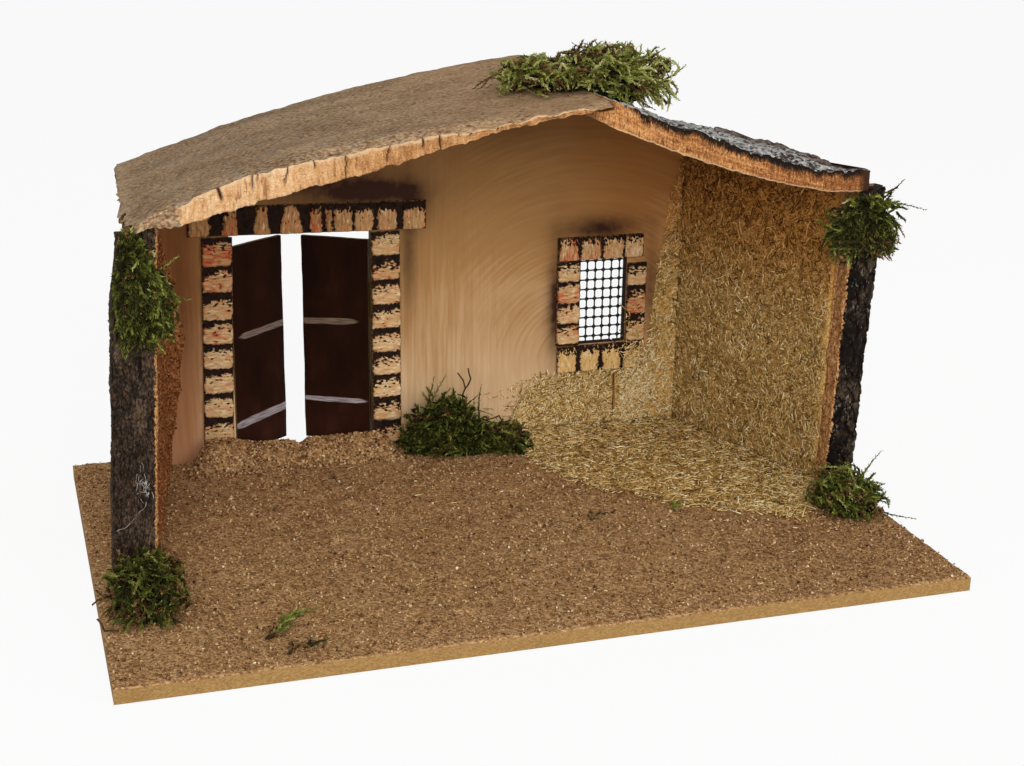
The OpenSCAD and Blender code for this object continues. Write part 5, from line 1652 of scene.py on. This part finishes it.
def fronds(roots, heading, lengths, bend, wave, rng, shade, leaf=3.0, wide=1.0, stem=0.9, spread=(0.4, 0.9)):
    """Fronds. A stem's point at t is root + length * (heading * t + bend * t * t + wave * sin(SWAY * t)).
    Leaves sit in a spiral along it: each is a four-cornered spike that leans forward along the stem,
    shorter towards the tip."""
    count = len(roots)

    def path(t):
        way = heading[:, None] * t + bend[:, None] * t * t + wave[:, None] * np.sin(SWAY * t)
        return roots[:, None] + lengths[:, None, None] * way

    def frame_at(t):
        tangent = unit(heading[:, None] + 2 * bend[:, None] * t + SWAY * wave[:, None] * np.cos(SWAY * t))
        side = unit(np.cross(tangent, [0.31, 0.17, 0.93]))
        return tangent, side, np.cross(tangent, side)

    t = np.linspace(0, 1, RINGS)[None, :, None]
    tangent, side, other = frame_at(t)
    angle = (np.arange(3) * 2 * np.pi / 3)[None, None, :, None]
    ring = side[:, :, None] * np.cos(angle) + other[:, :, None] * np.sin(angle)
    stems = path(t)[:, :, None] + (stem * (1 - 0.8 * t))[..., None] * ring
    stem_shade = np.repeat(shade - 0.06, 3 * RINGS)
    stalk = Shape(stems, [copies(part, count, 3 * RINGS) for part in STEM_FACES], shade=stem_shade)

    t = np.linspace(0.05, 1.0, LEAVES)[None, :, None]
    tangent, side, other = frame_at(t)
    turn = SPIRAL * np.arange(LEAVES)[None, :, None] + rng.uniform(0, 6.3, (count, 1, 1))
    out = side * np.cos(turn) + other * np.sin(turn)
    reach = leaf * (1.15 - 0.55 * t) * rng.uniform(0.8, 1.25, (count, LEAVES, 1))
    way = unit(tangent + out * rng.uniform(*spread, (count, LEAVES, 1)))
    broad = unit(np.cross(way, tangent))
    deep = np.cross(way, broad)
    base = path(t)
    half = wide * (1.1 - 0.5 * t)
    flank, keel = broad * half, deep * half * 0.5
    corners = np.stack([base + flank, base + keel, base - flank, base + way * reach], axis=2)
    tip_shade = np.array([-0.05, -0.05, -0.05, 0.08])
    leaf_shade = shade[:, None, None] + 0.22 * (t - 0.5) + rng.normal(0, 0.03, (count, LEAVES, 1)) + tip_shade
    return stalk + Shape(corners, [copies(LEAF_FACES, count * LEAVES, 4)], shade=leaf_shade)


print("A frond has", LEAVES, "leaves")


# %% Hearts and finishes of moss
def heart(centre, half, floor_z, seed, profile):
    """The tangled middle of a tuft: a lumpy ball by angle round and angle up, flattened where it rests."""
    angles = np.linspace(0, 2 * np.pi, 48, endpoint=False), np.linspace(0.02, np.pi - 0.02, 26)
    around, rise = np.meshgrid(*angles, indexing="ij")
    ball = np.stack([np.sin(rise) * np.cos(around), np.sin(rise) * np.sin(around), np.cos(rise)], axis=-1)
    lumpy = 0.6 * (1 + 0.22 * rough(0.5, seed, *np.moveaxis(ball, -1, 0)))
    ball[..., 2] *= profile(ball[..., 0])
    corners = centre + ball * half * lumpy[..., None]
    corners[..., 2] = np.maximum(corners[..., 2], floor_z(corners[..., 0], corners[..., 1]))
    return lofted(np.swapaxes(corners, 0, 1))


def moss_finish(name, *shades):
    """Dry moss: the mesh keeps each leaf's shade, from brown through green to pale tips."""
    f = Finish(name, Roughness=0.75)
    f.feed("Base Color", f.ramp(f.kept("shade") + (f.noise(7.0, 2.0) - 0.5) * 0.14, *shades))
    return f


def heart_shade_finish():
    """The inside of a tuft, painted near-black as the shade within it."""
    f = Finish("moss_heart", Roughness=0.95)
    f.feed("Base Color", f.ramp(f.noise(2.0, 4.0), (0.35, "#0d0c03"), (0.65, "#26220c")))
    f.bump(f.noise(1.5, 4.0), 0.9)
    return f


MOSS_SHADES = ((0.0, "#2a1a0c"), (0.1, "#674a29"), (0.18, "#8d7144"), (0.24, "#2e260d"), (0.34, "#212109"),
               (0.46, "#414414"), (0.62, "#6c712b"), (0.8, "#9a9c51"), (1.0, "#cbc78e"))
moss_heart = heart_shade_finish()
moss_leaves = moss_finish("moss_leaves", *MOSS_SHADES)
print("Moss has", len(MOSS_SHADES), "shades")

# %% [markdown]
# ## Where moss rests
# A tuft rests on the ground or on the roof, or hangs on a post. Each resting place is a small function of
# a place, and so are a tuft's outline and the room that it has, so one recipe serves all tufts.

# %% Where moss rests
MOSS_INNER_X, MOSS_NARROW_Z, MOSS_NARROWING = -192.0, 173.0, 0.5
MOSS_OVERHANG, OVERHANG_Z = 3.5, (205.0, 165.0)


def flat_ground(x, y):
    """The ground's level everywhere."""
    return 0 * x + GROUND


def roof_top(x, y):
    """The level of the roof's top at a place."""
    v = np.clip((y - ROOF_FRONT) / (ROOF_BACK - ROOF_FRONT), 0, 1)
    left = np.where(x <= RIDGE_X, left_top(x, v), 0)
    return np.maximum(left, np.where(x >= HEAD_X, right_top(x, v), 0))


def no_floor(x, y):
    """A tuft that hangs rests on nothing below."""
    return 0 * x - 1000


def anywhere(x, z):
    """A tuft that may spread to the sides as far as it likes."""
    return x == x


def on_left_post(x, z):
    """The moss on the left post hangs a little past its outer edge, but not at the top, and narrows
    upwards."""
    edge = LEFT_FOOT_X + (z - BASE_HIGH[2]) * LEFT_TILT + LEFT_CHIP * smooth(*CHIP_Z, z)
    outer = edge - MOSS_OVERHANG * smooth(*OVERHANG_Z, z)
    inner = MOSS_INNER_X - MOSS_NARROWING * np.maximum(z - MOSS_NARROW_Z, 0)
    return (x > outer) & (x < inner)


def even(share):
    """The height of a tuft that is as tall at both ends."""
    return 0 * share + 1


def low_on_the_left(share):
    """A tuft that lies flat at its left end."""
    return 0.55 + 0.45 * smooth(-0.6, 0.1, share)


def low_on_the_right(share):
    """A tuft that is half as tall on the right."""
    return 1 - 0.5 * smooth(0.1, 0.5, share)


print("The roof's top at the ridge moss:", np.round(roof_top(np.array(RIDGE_X), np.array(40.0)), 1))

# %% [markdown]
# ## Tufts of moss
# A tuft takes six times the fronds that it needs and keeps the first ones that fit, so none pokes through
# a wall. Most fronds are green, some are dry and brown, and a few are bright at the tips. Fronds rooted
# further in are darker, as painted shade inside the tuft.

# %% Tufts of moss
BUNCH = 13.0
BOXY = 0.8
BRIGHT = 0.11
SPARE = 6
CLEAR = 0.5


def tuft(name, corners, count, length, rest, rng, drift, wall=None, profile=even, sag=0.25, greens=0.5,
         browns=0.2, stray=1.4, seed=1, within=anywhere, replaces=()):
    """One tuft in a box: a heart, and fronds all over it. A frond heads outwards, but also with its
    neighbours, by a smooth random field, so that they lie in bunches, and with the tuft's own drift.
    Roots and ends behind the wall plane or under the resting surface are left out, and so are ends too
    far out, but for a few."""
    low, high = [np.array(corner, float) for corner in corners]
    centre, half = (low + high) / 2, (high - low) / 2
    if rest is flat_ground:
        centre[2], half[2] = low[2], high[2] - low[2]
    put_piece(name + "_heart", heart(centre, half, rest, seed, profile), moss_heart)
    many = SPARE * count
    ball = unit(rng.normal(size=(many, 3)))
    ball = np.sign(ball) * np.abs(ball) ** BOXY
    tall = profile(ball[:, 0])
    deep = rng.uniform(0.3, 0.92, many)
    lowered = np.column_stack([0 * tall + 1, 0 * tall + 1, tall])
    roots = centre + ball * half * deep[:, None] * lowered
    bunches = np.stack([blots(BUNCH, seed + k, *roots.T) for k in range(3)], axis=-1)
    heading = unit(0.6 * unit(ball / half) + bunches + drift + rng.normal(0, 0.22, ball.shape))
    lengths = rng.uniform(0.5, 1.25, many) * length
    bend = rng.normal(0, 0.26, ball.shape) - np.array([0, 0, sag])
    wave = rng.normal(0, 0.1, ball.shape)
    ends = roots + lengths[:, None] * (heading + bend + wave * np.sin(SWAY))
    fits = roots[:, 2] > rest(roots[:, 0], roots[:, 1]) + CLEAR
    fits &= ends[:, 2] > rest(ends[:, 0], ends[:, 1]) + CLEAR
    reach = (ends - centre) / (half + 1.5) / lowered
    fits &= (reach ** 2).sum(axis=1) < rng.uniform(0.7, stray, many)
    fits &= within(ends[:, 0], ends[:, 2]) & within(roots[:, 0], roots[:, 2])
    if wall is not None:
        fits &= (roots[:, 1] < wall - CLEAR) & (ends[:, 1] < wall - CLEAR)
    keep = np.flatnonzero(fits)[:count]
    dry = blots(BUNCH, seed + 5, *roots[keep].T) + rng.normal(0, 0.35, len(keep)) < 2 * browns - 1
    bright = 0.22 * (rng.uniform(0, 1, len(keep)) < BRIGHT)
    # Fronds rooted further in are darker: painted shade inside the tuft.
    green = np.clip(greens + 0.3 * (deep[keep] - 0.7) + rng.normal(0, 0.08, len(keep)) + bright, 0.36, 0.95)
    shade = np.where(dry, rng.uniform(0.03, 0.19, len(keep)), green)
    leafy = fronds(roots[keep], heading[keep], lengths[keep], bend[keep], wave[keep], rng, shade)
    put_piece(name + "_fronds", leafy, moss_leaves, replaces, rounded=False)


AT_POST = POST_FRONT + 14
AT_WALL = WALL_FRONT - 3
# Each tuft: fronds, their length, what it rests on, drift, the wall behind it, outline, sag, green, brown,
# stray ends, seed, and the room that it has where that is limited. A lobe also gives its box.
TUFTS = (("ridge_moss", 1050, 19.0, roof_top, (0.15, -0.3, 0.1), None, low_on_the_left,
          0.25, 0.68, 0.42, 1.35, 101),
         ("left_eave_moss", 600, 16.0, no_floor, (0.2, -0.3, -0.3), AT_POST, even,
          0.25, 0.44, 0.2, 1.5, 103, on_left_post),
         ("right_eave_moss", 560, 16.0, no_floor, (0.1, -0.3, 0.0), AT_POST, even,
          0.25, 0.45, 0.14, 1.35, 105),
         ("left_foot_moss", 700, 15.0, flat_ground, (-0.2, -0.8, 0.0), None, even,
          0.3, 0.42, 0.28, 1.4, 107),
         ("right_foot_moss", 560, 16.0, flat_ground, (0.2, -0.3, 0.3), None, even,
          0.2, 0.52, 0.34, 1.35, 109),
         ("wall_moss", 900, 14.0, flat_ground, (0.0, -0.3, 0.1), AT_WALL, low_on_the_right,
          0.3, 0.41, 0.14, 1.5, 111))
LOBES = (("left_eave_moss_top", ((-230, -36, 174), (-208, -21, 215)),
          240, 11.0, no_floor, (-0.1, -0.4, 0.1), AT_POST, even, 0.25, 0.43, 0.2, 1.4, 119, on_left_post),
         ("wall_moss_left", ((-27, 112, 9.5), (4, 143, 40)),
          320, 12.0, flat_ground, (-0.1, -0.3, 0.2), AT_WALL, even, 0.25, 0.39, 0.15, 1.3, 113),
         ("wall_moss_right", ((34, 96, 9.5), (66, 138, 27)),
          320, 12.0, flat_ground, (0.3, -0.3, 0.1), AT_WALL, even, 0.25, 0.41, 0.2, 1.3, 115),
         ("ridge_moss_tail", ((34, 66, 272), (88, 132, 285)),
          340, 12.0, roof_top, (-0.2, -0.3, 0.0), None, even, 0.3, 0.66, 0.35, 1.1, 117))
for name, count, length, rest, drift, *more in TUFTS:
    tuft(name, box(name), count, length, rest, rng, drift, *more, replaces=[name])
for name, corners, count, length, rest, drift, *more in LOBES:
    tuft(name, corners, count, length, rest, rng, drift, *more)

# %% [markdown]
# ## Sprigs on the ground
# A few bits of moss have dropped on the cork, some green, some brown. Each is three fronds that start at
# nearly the same place and lie flat.

# %% Sprigs on the ground
SPRIGS = np.array([(-166, -132, 0.12), (-163, -127, 0.55), (-155, -116, 0.6), (-150, -112, 0.62),
                   (-149, -152, 0.28), (-157, -154, 0.14), (60, -25, 0.2), (118, -20, 0.62)])
SPRIG_WAY = np.array([1.0, 0.75, 0.1])
SPRIG_FRONDS = 3
spots = np.repeat(SPRIGS, SPRIG_FRONDS, axis=0)
count = len(spots)
roots = np.column_stack([spots[:, :2] + rng.normal(0, 1.2, (count, 2)), np.full(count, GROUND + 1.2)])
heading = unit(SPRIG_WAY + rng.normal(0, 0.35, (count, 3)) * [1, 1, 0.1])
bend = rng.normal(0, 0.2, heading.shape) * [1, 1, 0.1]
wave = rng.normal(0, 0.05, heading.shape) * [1, 1, 0.1]
shade = spots[:, 2] + rng.normal(0, 0.05, count)
sprigs = fronds(roots, heading, rng.uniform(8, 13, count), bend, wave, rng, shade)
put_piece("loose_sprigs", sprigs, moss_leaves, ["ground_sprigs"], rounded=False)

# %% [markdown]
# ## Long sprigs and twigs
# Single long sprigs, bare twigs and dry blades stand out from the tufts and make their outline lively. A
# long sprig is one frond with large, open leaves. A twig or a blade is a chain of rods between measured
# places.

# %% Long sprigs and twigs
# Each long sprig: its root, its way, the length of its leaves and its shade.
LONG_SPRIGS = (((-6, 132, 36), (12, -2, 30), 5.0, 0.6), ((-8, 132, 36), (6, -2, 22), 4.5, 0.5),
               ((-4, 132, 42), (-7, -2, 9), 4.0, 0.56), ((-2, 132, 47), (-6, -2, 9), 3.5, 0.56),
               ((0, 132, 42), (8, -2, 9), 3.5, 0.5), ((-14, 130, 38), (-3, -2, 9), 3.5, 0.5),
               ((30, 126, 30), (-2, -4, 26), 2.6, 0.46), ((44, 120, 14), (18, -6, 12), 2.6, 0.44),
               ((250, -30, 205), (27, -2, 1), 3.0, 0.5), ((248, -28, 209), (14, -4, 12), 2.0, 0.4),
               ((-210, -30, 188), (18, -4, 12), 3.0, 0.66), ((-208, -30, 178), (22, -4, -4), 3.0, 0.56),
               ((236, -52, 30), (8, -4, 22), 3.0, 0.6), ((240, -60, 14), (12, -26, -3), 3.0, 0.5),
               ((92, 40, 288), (3, -4, 17), 2.6, 0.62), ((124, 36, 280), (9, -6, 6), 2.8, 0.62))
TWIGS = (((14, 134, 33), (20, 134, 42)), ((20, 134, 42), (21.5, 133, 51)), ((21.5, 133, 51), (16, 133, 63)),
         ((21.5, 133, 51), (25.5, 133, 58)), ((25.5, 133, 58), (23.5, 133, 66)),
         ((36, 128, 28), (45, 126, 31)), ((45, 126, 31), (52, 124, 22)), ((-246, -64, 13), (-253, -69, 12)),
         ((-246, -64, 13), (-250, -57, 15)), ((-242, -104, 11.5), (-249, -101, 11)),
         ((-249, -101, 11), (-252, -94, 15)), ((252, -28, 214), (258, -30, 217)))
DRY_BLADES = (((-238, -25, 9), (-231, -26, 10)), ((-231, -26, 10), (-226, -26, 15)),
              ((-226, -26, 15), (-221, -26, 20)), ((-234, -30, 12), (-231, -36, 22)),
              ((-230, -40, 26), (-228, -52, 16)), ((-205, -30, 24), (-202, -36, 12)))
OPEN_LEAVES = dict(wide=0.9, stem=0.7, spread=(0.6, 1.1))
roots, ways, leaf_sizes, shades = [np.array(column, float) for column in zip(*LONG_SPRIGS)]
heading = unit(ways)
bend = rng.normal(0, 0.1, heading.shape)
wave = rng.normal(0, 0.04, heading.shape)
lengths = np.linalg.norm(ways, axis=1)


def long_sprig(k):
    """One long sprig, as a single frond."""
    parts = [part[[k]] for part in (roots, heading, lengths, bend, wave)]
    return fronds(*parts, rng, shades[[k]], leaf_sizes[k], **OPEN_LEAVES)


sprigs = joined([long_sprig(k) for k in range(len(roots))])
starts, ends = np.moveaxis(np.array(TWIGS + DRY_BLADES, float), 1, 0)
way = ends - starts
span = np.linalg.norm(way, axis=1)
dry = np.arange(len(way)) >= len(TWIGS)
widths, shade = np.where(dry, 2.0, 1.3), np.where(dry, 0.16, 0.04)
twigs = stalks((starts + ends) / 2, unit(way), 1.06 * span, widths, 0.1 * span, rng, shade=shade)
put_piece("long_sprigs", sprigs + twigs, moss_leaves, rounded=False)
